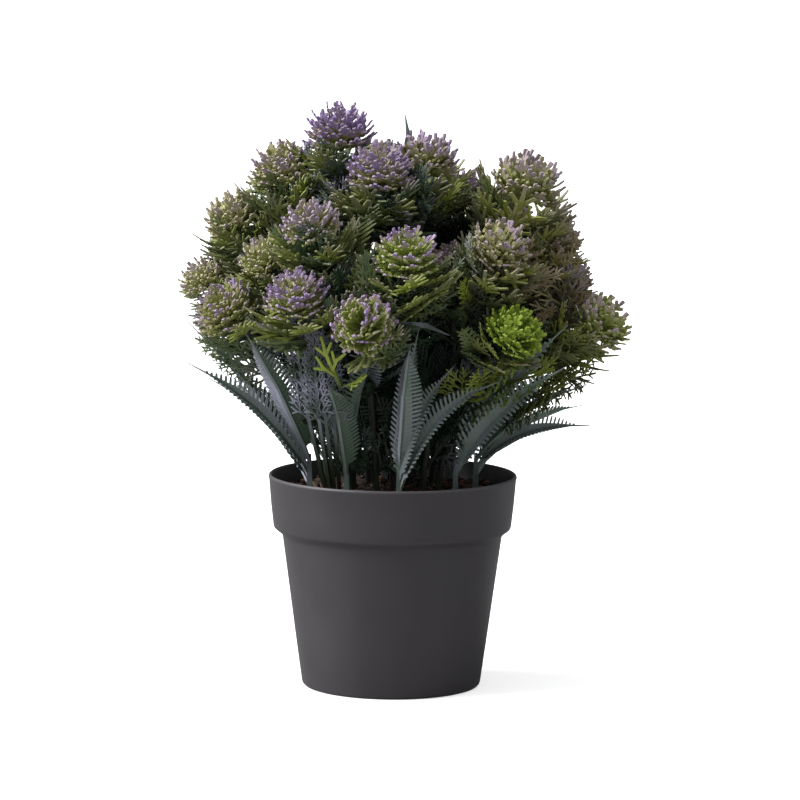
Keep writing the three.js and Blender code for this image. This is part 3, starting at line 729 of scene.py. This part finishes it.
remove([finger, stub, bloom_fork, bloom_pair, pair])
sprigs_made = (wide_bloom, slim_bloom, slim_sprig, long_sprig)
print("faces in a sprig:", [len(template.data.polygons) for template in sprigs_made])

# %% [markdown]
# ## Flower heads
#
# A real head is a stack of moulded rosettes threaded on a stalk, like cups inside each other. A layered
# template stacks rings of sprigs that lean further out the lower they sit. A loose one spreads its sprigs
# evenly by the golden angle, for heads whose rosettes have slipped. Two of each are enough, because every
# head is turned, sized and coloured anew.

# %% Head templates
# Lean, number of arms and seat of each rosette in a layered head.
ROSETTES = [(97, 12, -0.38), (77, 12, -0.26), (57, 10, -0.14), (37, 7, -0.02), (13, 4, 0.08)]
LAYERED_ROLL = 14
LOOSE_ROLL = 32
ARMS_IN_A_LOOSE_HEAD = 40
LOWEST_LOOSE_LEAN = math.radians(100)
GOLDEN_ANGLE = 137.5
HEAD_FLATTENING = 0.93
WIDE_BLOOM_SHARE = 0.7


def layered_arms(source):
    for lean, count, seat in ROSETTES:
        offset = source.uniform(0, 360)
        for number in range(count):
            azimuth = offset + 360 * number / count + source.uniform(-8, 8)
            yield azimuth, lean + source.uniform(-5, 5), seat, LAYERED_ROLL


def loose_arms(source):
    depth = 1 - math.cos(LOWEST_LOOSE_LEAN)
    for number in range(ARMS_IN_A_LOOSE_HEAD):
        lean = math.degrees(math.acos(1 - depth * (number + 0.5) / ARMS_IN_A_LOOSE_HEAD))
        azimuth = GOLDEN_ANGLE * number + source.uniform(-6, 6)
        yield azimuth, lean + source.uniform(-5, 5), source.uniform(-0.48, -0.2), LOOSE_ROLL


def head_template(name, arms, seed):
    source = random.Random(seed)
    parts = []
    for azimuth, lean, seat, roll_range in arms(source):
        size = source.uniform(0.97, 1.07)
        along = size * math.sin(math.radians(lean))
        rise = HEAD_FLATTENING * size * math.cos(math.radians(lean)) - seat
        roll = 90 + source.uniform(-roll_range, roll_range)
        turn = (Matrix.Translation((0, 0, seat)) @ turned(azimuth, "Z")
                @ Matrix.Rotation(math.atan2(along, rise), 4, "Y") @ turned(roll, "Z")
                @ Matrix.Scale(math.hypot(along, rise), 4))
        arm = copy_of(wide_bloom if source.random() < WIDE_BLOOM_SHARE else slim_bloom, turn)
        set_attribute(arm, "shade", source.random())
        parts.append(arm)
    stalk = grown_shoot("stalk", (0.11, 0.11), [(0.3, 0.12, 0.12), (0.25, 0.15, 0.15), (0.15, 0.05, 0.05)])
    stalk.data.transform(Matrix.Translation((0, 0, -HEAD_NECK)))
    set_attributes(stalk, tip=0.0, shade=0.2)
    return joined(parts + [stalk], name)


head_templates = [
    head_template("layered_head_a", layered_arms, 3), head_template("layered_head_b", layered_arms, 8),
    head_template("loose_head_a", loose_arms, 21), head_template("loose_head_b", loose_arms, 34),
]
print("faces in a head:", [len(head.data.polygons) for head in head_templates])

# %% [markdown]
# The paint differs from head to head. Bloom is how much lilac was sprayed on it, most on top. Warmth turns
# it brown, as on the heads at the right and at the back, lime leaves it a fresh yellow green, and painted
# light makes it pale and strawy where the head stands in the light.

# %% Heads in place
# Bloom, warmth, lime and painted light of the heads in front. Those behind get theirs by chance.
HEAD_PAINT = {
    "crown_tip": (1.0, 0.0, 0.0, 0.0), "crown_front": (0.75, 0.05, 0.0, 0.05),
    "crown_right": (0.6, 0.0, 0.2, 0.15), "crown_back": (0.5, 0.1, 0.0, 0.05),
    "left_high": (0.45, 0.05, 0.1, 0.22), "left_mid": (0.25, 0.1, 0.2, 0.42),
    "left_low": (0.25, 0.0, 0.3, 0.32), "front_left_high": (0.25, 0.0, 0.3, 0.28),
    "front_left_low": (0.3, 0.1, 0.1, 0.0), "front_high": (0.6, 0.0, 0.2, 0.18),
    "front_side": (0.7, 0.0, 0.3, 0.05), "front_low": (0.4, 0.0, 0.5, 0.0),
    "front_mid": (0.35, 0.0, 0.7, 0.0), "front_right_high": (0.3, 0.25, 0.2, 0.18),
    "front_right_inner": (0.2, 0.4, 0.1, 0.0), "front_right_low": (0.0, 0.0, 1.0, 0.0),
    "right_high": (0.5, 0.3, 0.9, 0.28), "right_mid": (0.35, 0.75, 0.2, 0.25),
    "right_low": (0.15, 0.15, 0.9, 0.22), "right_back": (0.3, 1.0, 0.0, 0.15),
}
LAYERED_HEADS = {"crown_tip", "crown_front", "front_side", "left_high", "front_mid", "front_left_low"}
head_rng = random.Random(12)
for stem in STEMS:
    for name, x, y, z, radius in stem["heads"]:
        middle = Vector((x, y, z))
        template = head_rng.choice(head_templates[:2] if name in LAYERED_HEADS else head_templates[2:])
        turn = (UP.rotation_difference(head_axis((name, x, y, z))).to_matrix().to_4x4()
                @ Matrix.Rotation(head_rng.uniform(0, 2 * math.pi), 4, "Z"))
        head = copy_of(template, Matrix.Translation(middle * MM) @ turn @ Matrix.Scale(radius * MM, 4))
        head.name = head.data.name = f"bloom_{name}"
        low, depth = (z - 0.6 * radius) * MM, 1.1 * radius * MM
        by_chance = (head_rng.uniform(0.2, 0.8), head_rng.uniform(0.0, 0.4), head_rng.uniform(0.0, 0.5), 0.1)
        bloom, warmth, lime, fading = HEAD_PAINT.get(name, by_chance)
        set_attribute(head, "bloom", lambda place: bloom * (0.3 + 0.8 * clamp((place.z - low) / depth)))
        set_attributes(head, warmth=warmth, lime=lime, fading=fading)
        coat(head, head_material)
        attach(head, "root")
        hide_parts(f"head_{name}")
remove(head_templates)
print("heads in place:", len(all_heads))

# %% [markdown]
# ## Stems and greenery
#
# The stems are bent wires in a plastic sleeve, and each forks towards its heads. A curve through the same
# points as the solids gets a round section, because a curve can be placed by its two ends and their
# handles.

# %% Wires
TRUNK_RADIUS = 1.8
BRANCH_RADIUS = 1.0
FOOT_DEPTH = 8


def bezier_curve(name, points, tilt=0.0):
    deselect_all()
    bpy.ops.curve.primitive_bezier_curve_add()
    wire = bpy.context.object
    wire.name = name
    start, lead_out, lead_in, end = [Vector(point) * MM for point in points]
    first, last = wire.data.splines[0].bezier_points
    for point in (first, last):
        point.handle_left_type = point.handle_right_type = "FREE"
        point.tilt = tilt
    first.co, first.handle_left, first.handle_right = start, 2 * start - lead_out, lead_out
    last.co, last.handle_left, last.handle_right = end, lead_in, 2 * end - lead_in
    return wire


def bezier_wire(name, points, radius):
    wire = bezier_curve(name, points)
    wire.data.resolution_u = 14
    wire.data.bevel_depth = radius * MM
    wire.data.bevel_resolution = 1
    wire.data.use_fill_caps = True
    bpy.ops.object.convert(target="MESH")
    return bpy.context.object


def bezier_point(points, t):
    a, b, c, d = [Vector(point) for point in points]
    return a * (1 - t) ** 3 + b * 3 * t * (1 - t) ** 2 + c * 3 * t * t * (1 - t) + d * t ** 3


def trunk_points(stem):
    x, y = stem["foot"]
    foot, fork = Vector((x, y, SOIL_TOP - FOOT_DEPTH)), Vector(stem["fork"])
    knee = Vector((x, y, (SOIL_TOP + fork.z) / 2))
    return [foot, foot.lerp(knee, 2 / 3), fork.lerp(knee, 2 / 3), fork], (fork - knee).normalized()


def branch_points(stem, rising, head):
    middle, radius = Vector(head[1:4]), head[4]
    axis = head_axis(head)
    fork = Vector(stem["fork"])
    seat = middle - axis * (HEAD_NECK * radius - 1)
    reach = (seat - fork).length
    return [fork - rising * 1.2, fork + rising * 0.3 * reach, seat - axis * 0.35 * reach, seat]

# %% [markdown]
# Four kinds of frond clothe the stems, each a rib with leaflets in pairs: a mossy one of forked sprigs, a
# feathery one of small forks, a pine-like one of single needles, and a tall plume with a bare stalk. The
# leaflets are copies of what is there already, and one bend of the whole frond makes them droop together.

# %% Fronds
# Rows of leaflets stand from the first to the last height on the rib, and size gives their length there.
def pinnate(name, leaflet, rows, first, last, angle, size, bend, across=0.0, rib_width=0.030):
    thin = rib_width / 3
    steps = [(0.5, 0.8 * rib_width, 2 * thin), (0.48, thin, thin)]
    parts = [grown_shoot("frond rib", (rib_width, 0.9 * rib_width), steps)]
    for row in range(rows):
        share = row / (rows - 1)
        height = first + (last - first) * share
        for side in (-1, 1):
            turn = (Matrix.Translation((0, 0, height + 0.012 * side))
                    @ turned(side * angle * (1 - 0.25 * share), "Y")
                    @ turned(across * side, "X"))
            parts.append(copy_of(leaflet, turn @ Matrix.Scale(size(share), 4)))
    parts.append(copy_of(leaflet, Matrix.Translation((0, 0, last)) @ Matrix.Scale(size(1), 4)))
    frond = joined(parts, name)
    apply_modifier(frond, "SIMPLE_DEFORM", deform_method="BEND", deform_axis="X", angle=bend)
    longest = max(vertex.co.z for vertex in frond.data.vertices)
    frond.data.transform(Matrix.Scale(1 / longest, 4))
    set_attribute(frond, "tip", lambda place: clamp(place.z * 0.7 + 1.2 * abs(place.x)))
    return frond


needle = grown_shoot("needle", (0.08, 0.06), [(0.6, 0.10, 0.07), (0.4, 0.04, 0.04)])
mossy_frond = pinnate("mossy_frond", slim_sprig, 4, 0.20, 0.66, 50, lambda share: 0.42 - 0.10 * share, 0.5,
                      across=28)
feather_frond = pinnate("feather_frond", fork, 7, 0.14, 0.84, 42, lambda share: 0.30 - 0.14 * share, 0.4, 8)
needle_frond = pinnate("needle_frond", needle, 12, 0.10, 0.92, 48,
                       lambda share: 0.32 * math.sin(math.pi * (0.9 - 0.68 * share)) ** 0.7, 0.6, 12)
tall_frond = pinnate("tall_frond", slim_sprig, 9, 0.46, 0.93, 34, lambda share: 0.15 - 0.06 * share, 0.3, 10,
                     rib_width=0.020)
remove([needle])
frond_templates = [mossy_frond, feather_frond, needle_frond]
print("faces in a frond:", [len(frond.data.polygons) for frond in frond_templates])

# %% [markdown]
# The sprays that the solids have are dressed first. Finer fronds fill the gaps, because hardly any light
# comes through, and dark ones stand low between the stems as painted shade. Then whorls of single sprigs go
# round every branch below its head, since on the real plant a head is only the last and lilac whorl of many;
# the lower whorls are painted darker as shade under the head. Greens are limy outside, and painted shade
# darkens them within the bush, low down and in the hollow below the crown. They are often dusted low on the
# left, and brown high on the right. No whorl hides the leaves and plumes in front.

# %% Place the fronds
FRONDS_PER_STEM = 22
LOW_FRONDS_PER_STEM = 14
# Height from the middle of the head, reach in head radii and number of sprigs of each whorl.
WHORLS = ((0, 1.12, 7), (-7, 1.14, 9), (-14, 1.04, 8), (-23, 0.88, 6))
# Place and radius of the hollow below the crown, as seen from the front, where greens are painted dark as
# shade.
PAINTED_SHADE_HOLLOW = (13, 226, 17)
# Room for loose greenery along each axis.
REACH = ((-99, 108), (-96, 102), (104, 268))
BUSH_MIDDLE = 150
LOWEST_TIP = 104
WIDEST_TIP = 97
BROWN_FRONDS = 0.7


def limb(template, root, tip, roll, shade, dust, blush, warmth=0.0, about=UP):
    along = (tip - root).normalized()
    side = Quaternion(along, roll) @ about.cross(along).normalized()
    facing = Matrix((side, along.cross(side), along)).transposed().to_4x4()
    size = Matrix.Scale((tip - root).length * MM, 4)
    piece = copy_of(template, Matrix.Translation(root * MM) @ facing @ size)
    set_attributes(piece, shade=shade, dust=dust, blush=blush, warmth=warmth)
    return piece


# Painted shade: greens darken within the bush, in the hollow below the crown and low down.
def green_tone_and_painted_shade(tip, source):
    outer = clamp((Vector((tip.x, tip.y, 0.8 * (tip.z - BUSH_MIDDLE))).length - 40) / 50)
    limy = 0.12 if tip.x > 40 else 0.0
    in_hollow = math.hypot(tip.x - PAINTED_SHADE_HOLLOW[0], tip.z - PAINTED_SHADE_HOLLOW[1]) < PAINTED_SHADE_HOLLOW[2] and tip.y > -60
    painted_hollow_shade = 0.4 if in_hollow else 0.0
    painted_low_shade = clamp((tip.z - LOWEST_TIP) / 45, 0.1)
    return clamp(source.gauss(0.12 + 0.42 * outer + limy - painted_hollow_shade, 0.16)) * painted_low_shade


def frond_between(root, tip, roll, source):
    template = source.choices(frond_templates, weights=(5, 5, 1))[0]
    low_left = tip.x < 0 and tip.z < 190
    dust = source.uniform(0.5, 1.0) if source.random() < (0.5 if low_left else 0.2) else 0.05
    warmth = BROWN_FRONDS if tip.x > 66 and 180 < tip.z < 235 else 0.0
    shade = green_tone_and_painted_shade(tip, source)
    return limb(template, root, tip, roll, shade, dust, source.choice((0.0, 0.0, 0.6)), warmth)


def clear_of_heads(root, tip, shares=(0.45, 0.7, 1.0)):
    for share in shares:
        place = root.lerp(tip, share)
        if any((place - middle).length < 0.8 * radius for middle, radius in all_heads):
            return False
    return all(low < value < high for value, (low, high) in zip(tip, REACH))


def extra_fronds(stem_curves, source):
    fronds = []
    for _ in range(40 * FRONDS_PER_STEM):
        if len(fronds) == FRONDS_PER_STEM:
            break
        curve = source.choice(stem_curves)
        root = bezier_point(curve, source.uniform(0.12, 0.85))
        out = Vector((root.x, root.y, 12)).normalized()
        spread_out = Vector((source.uniform(-1, 1), source.uniform(-1, 1), source.uniform(-0.25, 1.1)))
        tip = root + (out * 0.8 + spread_out).normalized() * source.uniform(26, 46)
        widest = min(WIDEST_TIP, 24 + 1.35 * (tip.z - LOWEST_TIP))
        if clear_of_heads(root, tip) and math.hypot(tip.x, tip.y) < widest:
            fronds.append(frond_between(root, tip, source.uniform(-1.3, 1.3), source))
    return fronds


# Dark fronds low between the stems, painted dark as shade.
def low_painted_shade_fronds(trunk, source):
    fronds = []
    for _ in range(LOW_FRONDS_PER_STEM):
        root = bezier_point(trunk, source.uniform(0.12, 0.85))
        direction = Vector((source.uniform(-1, 1), source.uniform(-1, 1), source.uniform(0.0, 1.2)))
        tip = root + direction.normalized() * source.uniform(26, 42)
        if tip.z > LOWEST_TIP and math.hypot(tip.x, tip.y) < 30 + 0.9 * (tip.z - LOWEST_TIP):
            template = source.choice((feather_frond, needle_frond))
            roll = source.uniform(-1.5, 1.5)
            fronds.append(limb(template, root, tip, roll, source.uniform(0.0, 0.2), 0.0, 0.0))
    return fronds


def covers_a_leaf(tip):
    return tip.y < -20 and tip.z < (173 if tip.x < -20 else 162)


def covers_the_plumes(tip):
    return tip.y < -50 and -62 < tip.x < -28 and tip.z < 184


def whorls(head, branch, source):
    middle, radius = Vector(head[1:4]), head[4]
    axis = head_axis(head)
    warmth = HEAD_PAINT[head[0]][1] if head[0] in HEAD_PAINT else 0.1
    branch_length = (branch[3] - branch[0]).length
    sprigs = []
    for height, reach, count in WHORLS:
        start = source.uniform(0, 360)
        for number in range(count):
            azimuth = start + 360 * number / count + source.uniform(-16, 16)
            turn = Quaternion(axis, math.radians(azimuth))
            out = turn @ axis.orthogonal() * (reach * radius * source.uniform(0.92, 1.06))
            rise = height + source.uniform(-3, 3)
            below = out.length / math.tan(math.radians(source.uniform(40, 56))) - rise
            share = clamp(1 - (below - HEAD_NECK * radius) / branch_length, 0.03, 1)
            root = middle - axis * below if below < HEAD_NECK * radius else bezier_point(branch, share)
            tip = middle + axis * rise + out
            if clear_of_heads(root, tip, shares=(1.0,)) and not covers_a_leaf(tip):
                # Lower whorls are painted darker, as shade under the head.
                shade = clamp(green_tone_and_painted_shade(tip, source) + 0.24 + 0.016 * height)
                template = long_sprig if source.random() < 0.75 else slim_sprig
                blush = source.uniform(0.0, 0.3) + 0.4 * clamp(1 + height / 10)
                roll = source.uniform(-0.4, 0.4)
                if not covers_the_plumes(tip):
                    sprigs.append(limb(template, root, tip, roll, shade, 0.05, blush, 0.6 * warmth, axis))
    return sprigs

# %% [markdown]
# Some pieces stand out in the picture and are placed one by one: slender grey lilac plumes that rise from
# the soil at the front left, dusted sprigs under the crown, lime sprays and a brown twig at the right, lime
# twigs under the front heads, and two thin blades. Moss painted dark as shade stands deep in the crown and
# far back, where light would otherwise shine through the bush.

# %% Fronds placed one by one
# Kind, root, tip, roll and shade of each, with dust and warmth where it has any.
SINGLE_FRONDS = {
    "front_left": [
        ("tall", (-31, -20, 94), (-53, -66, 181), 0.1, 0.3, 1.0, 0.0),
        ("tall", (-29, -23, 94), (-45, -76, 181), -0.2, 0.3, 1.0, 0.0),
        ("tall", (-27, -26, 94), (-37, -78, 178), 0.2, 0.3, 0.9, 0.0),
        ("tall", (-25, -24, 94), (-31, -70, 172), 0.0, 0.3, 0.9, 0.0),
        ("moss", (-56, -24, 158), (-92, -38, 168), 1.2, 0.6, 0.3, 0.0),
        ("moss", (-52, -22, 150), (-86, -30, 160), 1.3, 0.5, 0.3, 0.0),
    ],
    "front_right": [
        ("moss", (38, -34, 150), (68, -54, 164), 1.2, 1.0),
        ("moss", (34, -30, 144), (52, -60, 160), 1.0, 1.0),
        ("moss", (40, -30, 148), (80, -44, 158), 1.3, 0.95),
        ("moss", (30, -26, 140), (36, -56, 154), 0.3, 0.9),
        ("moss", (32, -30, 136), (60, -50, 148), 1.2, 0.5),
    ],
    "right": [
        ("moss", (60, -8, 154), (104, -20, 162), 1.2, 0.75),
        ("moss", (56, -8, 144), (98, -12, 154), 1.4, 0.65, 0.0, 0.2),
        ("moss", (52, -6, 138), (88, -26, 148), 1.2, 0.65),
        ("moss", (46, -5, 130), (78, -18, 140), 1.4, 0.5, 0.0, 0.2),
        ("moss", (62, -10, 160), (92, -34, 172), 1.2, 0.7, 0.0, 0.1),
        ("twig", (76, -8, 218), (82, -10, 233), 0.0, 0.9, 0.0, 1.0),
    ],
    "crown": [
        # Moss deep in the bush, painted dark as shade.
        ("moss", (-1, 2, 140), (14, -18, 164), 0.3, 0.2), ("moss", (-1, 2, 132), (2, -24, 156), -0.3, 0.15),
        ("moss", (-2, 3, 150), (18, -12, 178), 0.3, 0.2), ("moss", (-1, 2, 126), (20, -10, 146), 0.0, 0.1),
        ("moss", (0, 2, 134), (30, -14, 166), 0.0, 0.1), ("moss", (0, 4, 140), (26, 6, 172), 0.2, 0.1),
        ("moss", (0, 3, 118), (24, -4, 158), 0.1, 0.05),
        ("blade", (-2, 2, 246), (4.5, 0, 277), 0.0, 0.35, 0.6, 0.0),
        ("moss", (-20, -8, 222), (-34, -24, 254), 1.2, 0.3, 0.9, 0.0),
        ("moss", (-16, -10, 218), (-26, -36, 244), 1.2, 0.3, 0.9, 0.0),
        ("moss", (-26, -8, 238), (-46, -14, 260), 0.8, 0.3, 1.0, 0.0),
    ],
    "front": [
        ("twig", (-24, -66, 152), (-33, -77, 178), 0.3, 1.0),
        ("twig", (-25, -67, 153), (-12, -76, 160), 0.6, 1.0),
        ("blade", (-12, -66, 178), (26, -66, 178), 3.1, 0.2, 1.0, 0.0),
    ],
    "back": [
        # Moss far back, painted dark as shade where light would otherwise shine through.
        ("moss", (8, 34, 140), (14, 48, 180), 0.1, 0.1), ("moss", (20, 36, 138), (26, 50, 178), -0.1, 0.1),
        ("moss", (2, 30, 130), (4, 44, 166), 0.0, 0.1), ("moss", (28, 34, 132), (38, 44, 168), 0.2, 0.1),
        ("moss", (10, 44, 148), (24, 50, 184), 0.8, 0.1), ("moss", (26, 46, 150), (12, 52, 184), -0.6, 0.1),
        ("moss", (18, 20, 140), (20, 24, 182), 0.4, 0.1), ("moss", (14, 40, 150), (18, 52, 190), 0.0, 0.1),
        ("moss", (20, 44, 152), (30, 56, 186), 0.0, 0.1), ("moss", (24, 32, 134), (30, 40, 174), 0.3, 0.1),
    ],
    "back_right": [
        ("moss", (44, 20, 134), (56, 26, 166), 0.0, 0.2), ("moss", (52, 22, 138), (72, 28, 164), 0.1, 0.3),
        ("moss", (38, 18, 126), (48, 24, 158), 0.2, 0.2),
        ("moss", (60, 24, 144), (88, 30, 166), 0.1, 0.4, 0.0, 0.2),
    ],
}


blade_steps = [(0.35, 0.020, 0.075), (0.35, 0.020, 0.060), (0.30, 0.006, 0.008)]
blade = arched(grown_shoot("blade", (0.012, 0.020), blade_steps), 1.1)
single_kinds = {"tall": tall_frond, "twig": slim_sprig, "moss": mossy_frond, "blade": blade}


def single_fronds(name):
    fronds = []
    for kind, root, tip, roll, shade, *paint in SINGLE_FRONDS.get(name, []):
        dust, warmth = paint or (0.0, 0.0)
        fronds.append(limb(single_kinds[kind], Vector(root), Vector(tip), roll, shade, dust, 0.0, warmth))
    return fronds


print("fronds placed one by one:", sum(len(fronds) for fronds in SINGLE_FRONDS.values()))

# %% [markdown]
# Wires, sprays, fronds and whorls of a stem are joined into one piece, since the real ones are clipped to
# one stem and pulled out of the soil together. All chance comes from one seeded source, so that the bush
# grows the same way every time.

# %% Dress every stem
frond_rng = random.Random(19)
for stem in STEMS:
    trunk, rising = trunk_points(stem)
    branches = [branch_points(stem, rising, head) for head in stem["heads"]]
    parts = [bezier_wire("trunk", trunk, TRUNK_RADIUS)]
    parts += [bezier_wire("branch", branch, BRANCH_RADIUS) for branch in branches]
    for part in parts:
        set_attribute(part, "tip", lambda place: clamp((place.z - 140 * MM) / (200 * MM)))
        set_attributes(part, shade=0.2, dust=0.1, blush=0.0, warmth=0.0)
    for spray in stem["sprays"]:
        parts.append(frond_between(Vector(spray[0:3]), Vector(spray[3:6]), spray[6], frond_rng))
    parts += extra_fronds([trunk] + branches, frond_rng)
    parts += low_painted_shade_fronds(trunk, frond_rng)
    parts += single_fronds(stem["name"])
    for head, branch in zip(stem["heads"], branches):
        parts += whorls(head, branch, frond_rng)
    piece = joined(parts, f"sprigs_{stem['name']}")
    coat(piece, foliage_material)
    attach(piece, "root")
    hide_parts(f"stem_{stem['name']}")
    print(piece.name, "faces:", len(piece.data.polygons))
remove(frond_templates + [tall_frond, blade])

# %% [markdown]
# ## Comb leaves
#
# A comb leaf is folded like a boat along its midrib. Its lobes are joined by a thin blade near the midrib
# and stand apart as teeth at the edge. A single tooth is grown and copied down both sides, each copy sized
# by the swell of the leaf, and two bent grids make the blade.

# %% The flat leaf
LEAF_LENGTH = 70.0
LEAF_HALF_WIDTH = 8.5
LEAF_TEETH = 25
LEAF_FOLD = math.radians(35)
TOOTH_LEAN = math.radians(66)
BLADE_START = 0.10
BLADE_END = 0.90
WEB_LENGTH = 0.76
WEB_THICKNESS = 0.45
TOOTH_THICKNESS = 0.75
SHORTEST_TOOTH = 1.2


def leaf_swell(share):
    return min(1, 0.6 + 3 * share) * (1 - max(0, (share - 0.42) / 0.58) ** 1.9)


def flat_leaf():
    tooth = grown_shoot("tooth", (0.9, 1.0), [(0.80, 1.0, 0.8), (0.20, 0.55, 0.5)])
    pitch = (BLADE_END - BLADE_START) * LEAF_LENGTH / LEAF_TEETH
    teeth = []
    for number in range(LEAF_TEETH):
        share = (number + 0.5) / LEAF_TEETH
        along = BLADE_START * LEAF_LENGTH + number * pitch
        length = max(SHORTEST_TOOTH, LEAF_HALF_WIDTH * leaf_swell(share) / math.sin(TOOTH_LEAN))
        width = pitch * (0.64 - 0.12 * share)
        for side in (-1, 1):
            turn = (Matrix.Rotation(side * LEAF_FOLD, 4, "X") @ Matrix.Rotation(side * TOOTH_LEAN, 4, "Z")
                    @ turned(90, "Y"))
            size = Matrix.Diagonal((TOOTH_THICKNESS, width, length, 1))
            teeth.append(copy_of(tooth, Matrix.Translation((along, 0, 0)) @ turn @ size))
    remove([tooth])
    for part in teeth:
        set_attribute(part, "rib", 1.0)
    midrib_steps = [(0.12, 1.7, 1.6), (0.4, 1.4, 1.3), (0.32, 0.8, 0.9), (0.16, 0.3, 0.3)]
    midrib = grown_shoot("midrib", (1.6, 1.5), midrib_steps)
    midrib.data.transform(turned(90, "Y") @ Matrix.Diagonal((1, 1, LEAF_LENGTH, 1)))
    set_attribute(midrib, "rib", 1.3)
    return joined(teeth + [midrib] + leaf_blades(), "flat_leaf")


def leaf_blades():
    blades = []
    for side in (-1, 1):
        deselect_all()
        bpy.ops.mesh.primitive_grid_add(x_subdivisions=14, y_subdivisions=3, size=1)
        blade = bpy.context.object
        for vertex in blade.data.vertices:
            share = vertex.co.x + 0.5
            cover = 0.68 - 0.40 * share
            across = (vertex.co.y + 0.5) * LEAF_HALF_WIDTH * leaf_swell(0.95 * share) * cover
            vertex.co = (LEAF_LENGTH * (BLADE_START + WEB_LENGTH * share), side * across, 0)
        if side < 0:
            blade.data.flip_normals()
        apply_modifier(blade, "SOLIDIFY", thickness=WEB_THICKNESS, offset=0)
        blade.data.transform(Matrix.Rotation(side * LEAF_FOLD, 4, "X"))
        set_attribute(blade, "rib", 0.0)
        blades.append(blade)
    return blades


leaf_template = flat_leaf()
print("faces in a leaf:", len(leaf_template.data.polygons))

# %% [markdown]
# Real comb leaves come flat from the mould and are arched by hand. The flat leaf is copied, stretched to the
# length of its curve and bent along it with a curve modifier, whose tilt rolls the leaf to the side that it
# shows.

# %% Lay the leaves along their curves
CREST_SHARE = 0.3
CURVE_SAMPLES = 40


def laid_leaf(root, tip, width, roll, rise, dust, shade, source):
    crest = root.lerp(tip, CREST_SHARE)
    crest.z = root.z + rise * (tip.z - root.z)
    points = [root, root.lerp(crest, 2 / 3), tip.lerp(crest, 2 / 3), tip]
    samples = [bezier_point(points, step / CURVE_SAMPLES) for step in range(CURVE_SAMPLES + 1)]
    length = sum((b - a).length for a, b in zip(samples, samples[1:]))
    wide = width / (2 * LEAF_HALF_WIDTH)
    leaf = copy_of(leaf_template, Matrix.Diagonal((length / LEAF_LENGTH, wide, wide, 1)))
    leaf.data.transform(Matrix.Scale(MM, 4))
    wire = bezier_curve("guide", points, roll)
    wire.data.twist_mode = "Z_UP"
    wire.data.resolution_u = 32
    apply_modifier(leaf, "CURVE", object=wire, deform_axis="POS_X")
    remove([wire])
    shade = clamp(shade + source.uniform(-0.15, 0.15))
    set_attributes(leaf, shade=shade, dust=dust * source.uniform(0.7, 1.0))
    return leaf


# Dust and shade of the leaves of a shoot.
LEAF_PAINT = {
    "left": (1.35, 0.45), "front_left": (0.3, 0.1), "front": (0.9, 0.5), "front_right": (0.7, 0.6),
    "right": (0.7, 0.8),
}
USUAL_LEAF_PAINT = (0.35, 0.4)
SHADED_FRONT_PAINT = (0.35, 0.3)
STALK_FOOT = SHOOT_TOP - 32
TOP_LEAF = SHOOT_TOP - 1.5
leaf_rng = random.Random(5)
for shoot in SHOOTS:
    x, y = shoot["foot"]
    stalk = grown_shoot("stalk", (3.2, 3.2), [(20, 2.8, 2.8), (14, 1.6, 1.6)])
    stalk.data.transform(Matrix.Translation(Vector((x, y, STALK_FOOT)) * MM) @ Matrix.Scale(MM, 4))
    set_attributes(stalk, rib=0.0, shade=0.0, dust=0.4)
    parts = [stalk]
    for number, (tip_x, tip_y, tip_z, width, roll, rise) in enumerate(shoot["leaves"]):
        root = Vector((x, y, TOP_LEAF - SHOOT_STEP * number))
        tip = Vector((tip_x, tip_y, tip_z))
        dust, shade = LEAF_PAINT.get(shoot["name"], USUAL_LEAF_PAINT)
        if shoot["name"] == "front" and tip_x > 20:
            dust, shade = SHADED_FRONT_PAINT
        parts.append(laid_leaf(root, tip, width, math.radians(roll), rise, dust, shade, leaf_rng))
    piece = joined(parts, f"leaves_{shoot['name']}")
    coat(piece, leaf_material)
    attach(piece, "root")
    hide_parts(f"comb_leaves_{shoot['name']}")
remove([leaf_template, fork, wide_bloom, slim_bloom, slim_sprig, long_sprig])

# %% [markdown]
# ## Studio
#
# The plant stands on a pale floor that fills the picture. One big soft light from the upper left shapes it,
# a softer one from above lifts the tops, a weak one from the right keeps the shadow side readable, and a
# dim pale world fills the rest. The floor looks brighter to the eye than it is to the plant, so that it
# turns white without lighting the bush.

# %% Floor and lights
deselect_all()
bpy.ops.mesh.primitive_plane_add(size=60)
floor = bpy.context.object
floor.name = "floor"
floor_material, tree, shader = new_material("pale floor")
shader.inputs["Roughness"].default_value = 0.9
seen = add_node(tree, "ShaderNodeLightPath").outputs["Is Camera Ray"]
tree.links.new(mixed(tree, seen, (0.32, 0.32, 0.32), (0.9, 0.9, 0.9)), shader.inputs["Base Color"])
shader.inputs["Emission Color"].default_value = (1, 1, 1, 1)
tree.links.new(product(tree, seen, 0.6), shader.inputs["Emission Strength"])
floor.data.materials.append(floor_material)


def distant_light(name, toward_light, strength, spread_degrees):
    deselect_all()
    bpy.ops.object.light_add(type="SUN")
    light = bpy.context.object
    light.name = name
    light.data.energy = strength
    light.data.angle = math.radians(spread_degrees)
    light.rotation_euler = Vector(toward_light).to_track_quat("Z", "Y").to_euler()


distant_light("key", (-1.0, -0.14, 0.76), 5.0, 44)
distant_light("top", (0.0, -0.1, 1.0), 1.2, 70)
distant_light("fill", (1.0, -0.4, 0.3), 0.3, 60)

world = bpy.data.worlds.new("studio")
bpy.context.scene.world = world
world.use_nodes = True
world.node_tree.nodes["Background"].inputs["Color"].default_value = (0.95, 0.96, 1.0, 1)
world.node_tree.nodes["Background"].inputs["Strength"].default_value = 0.25
bpy.context.scene.view_settings.view_transform = "Standard"

# %% [markdown]
# Last, the selection is cleared.

# %% Finish
deselect_all()
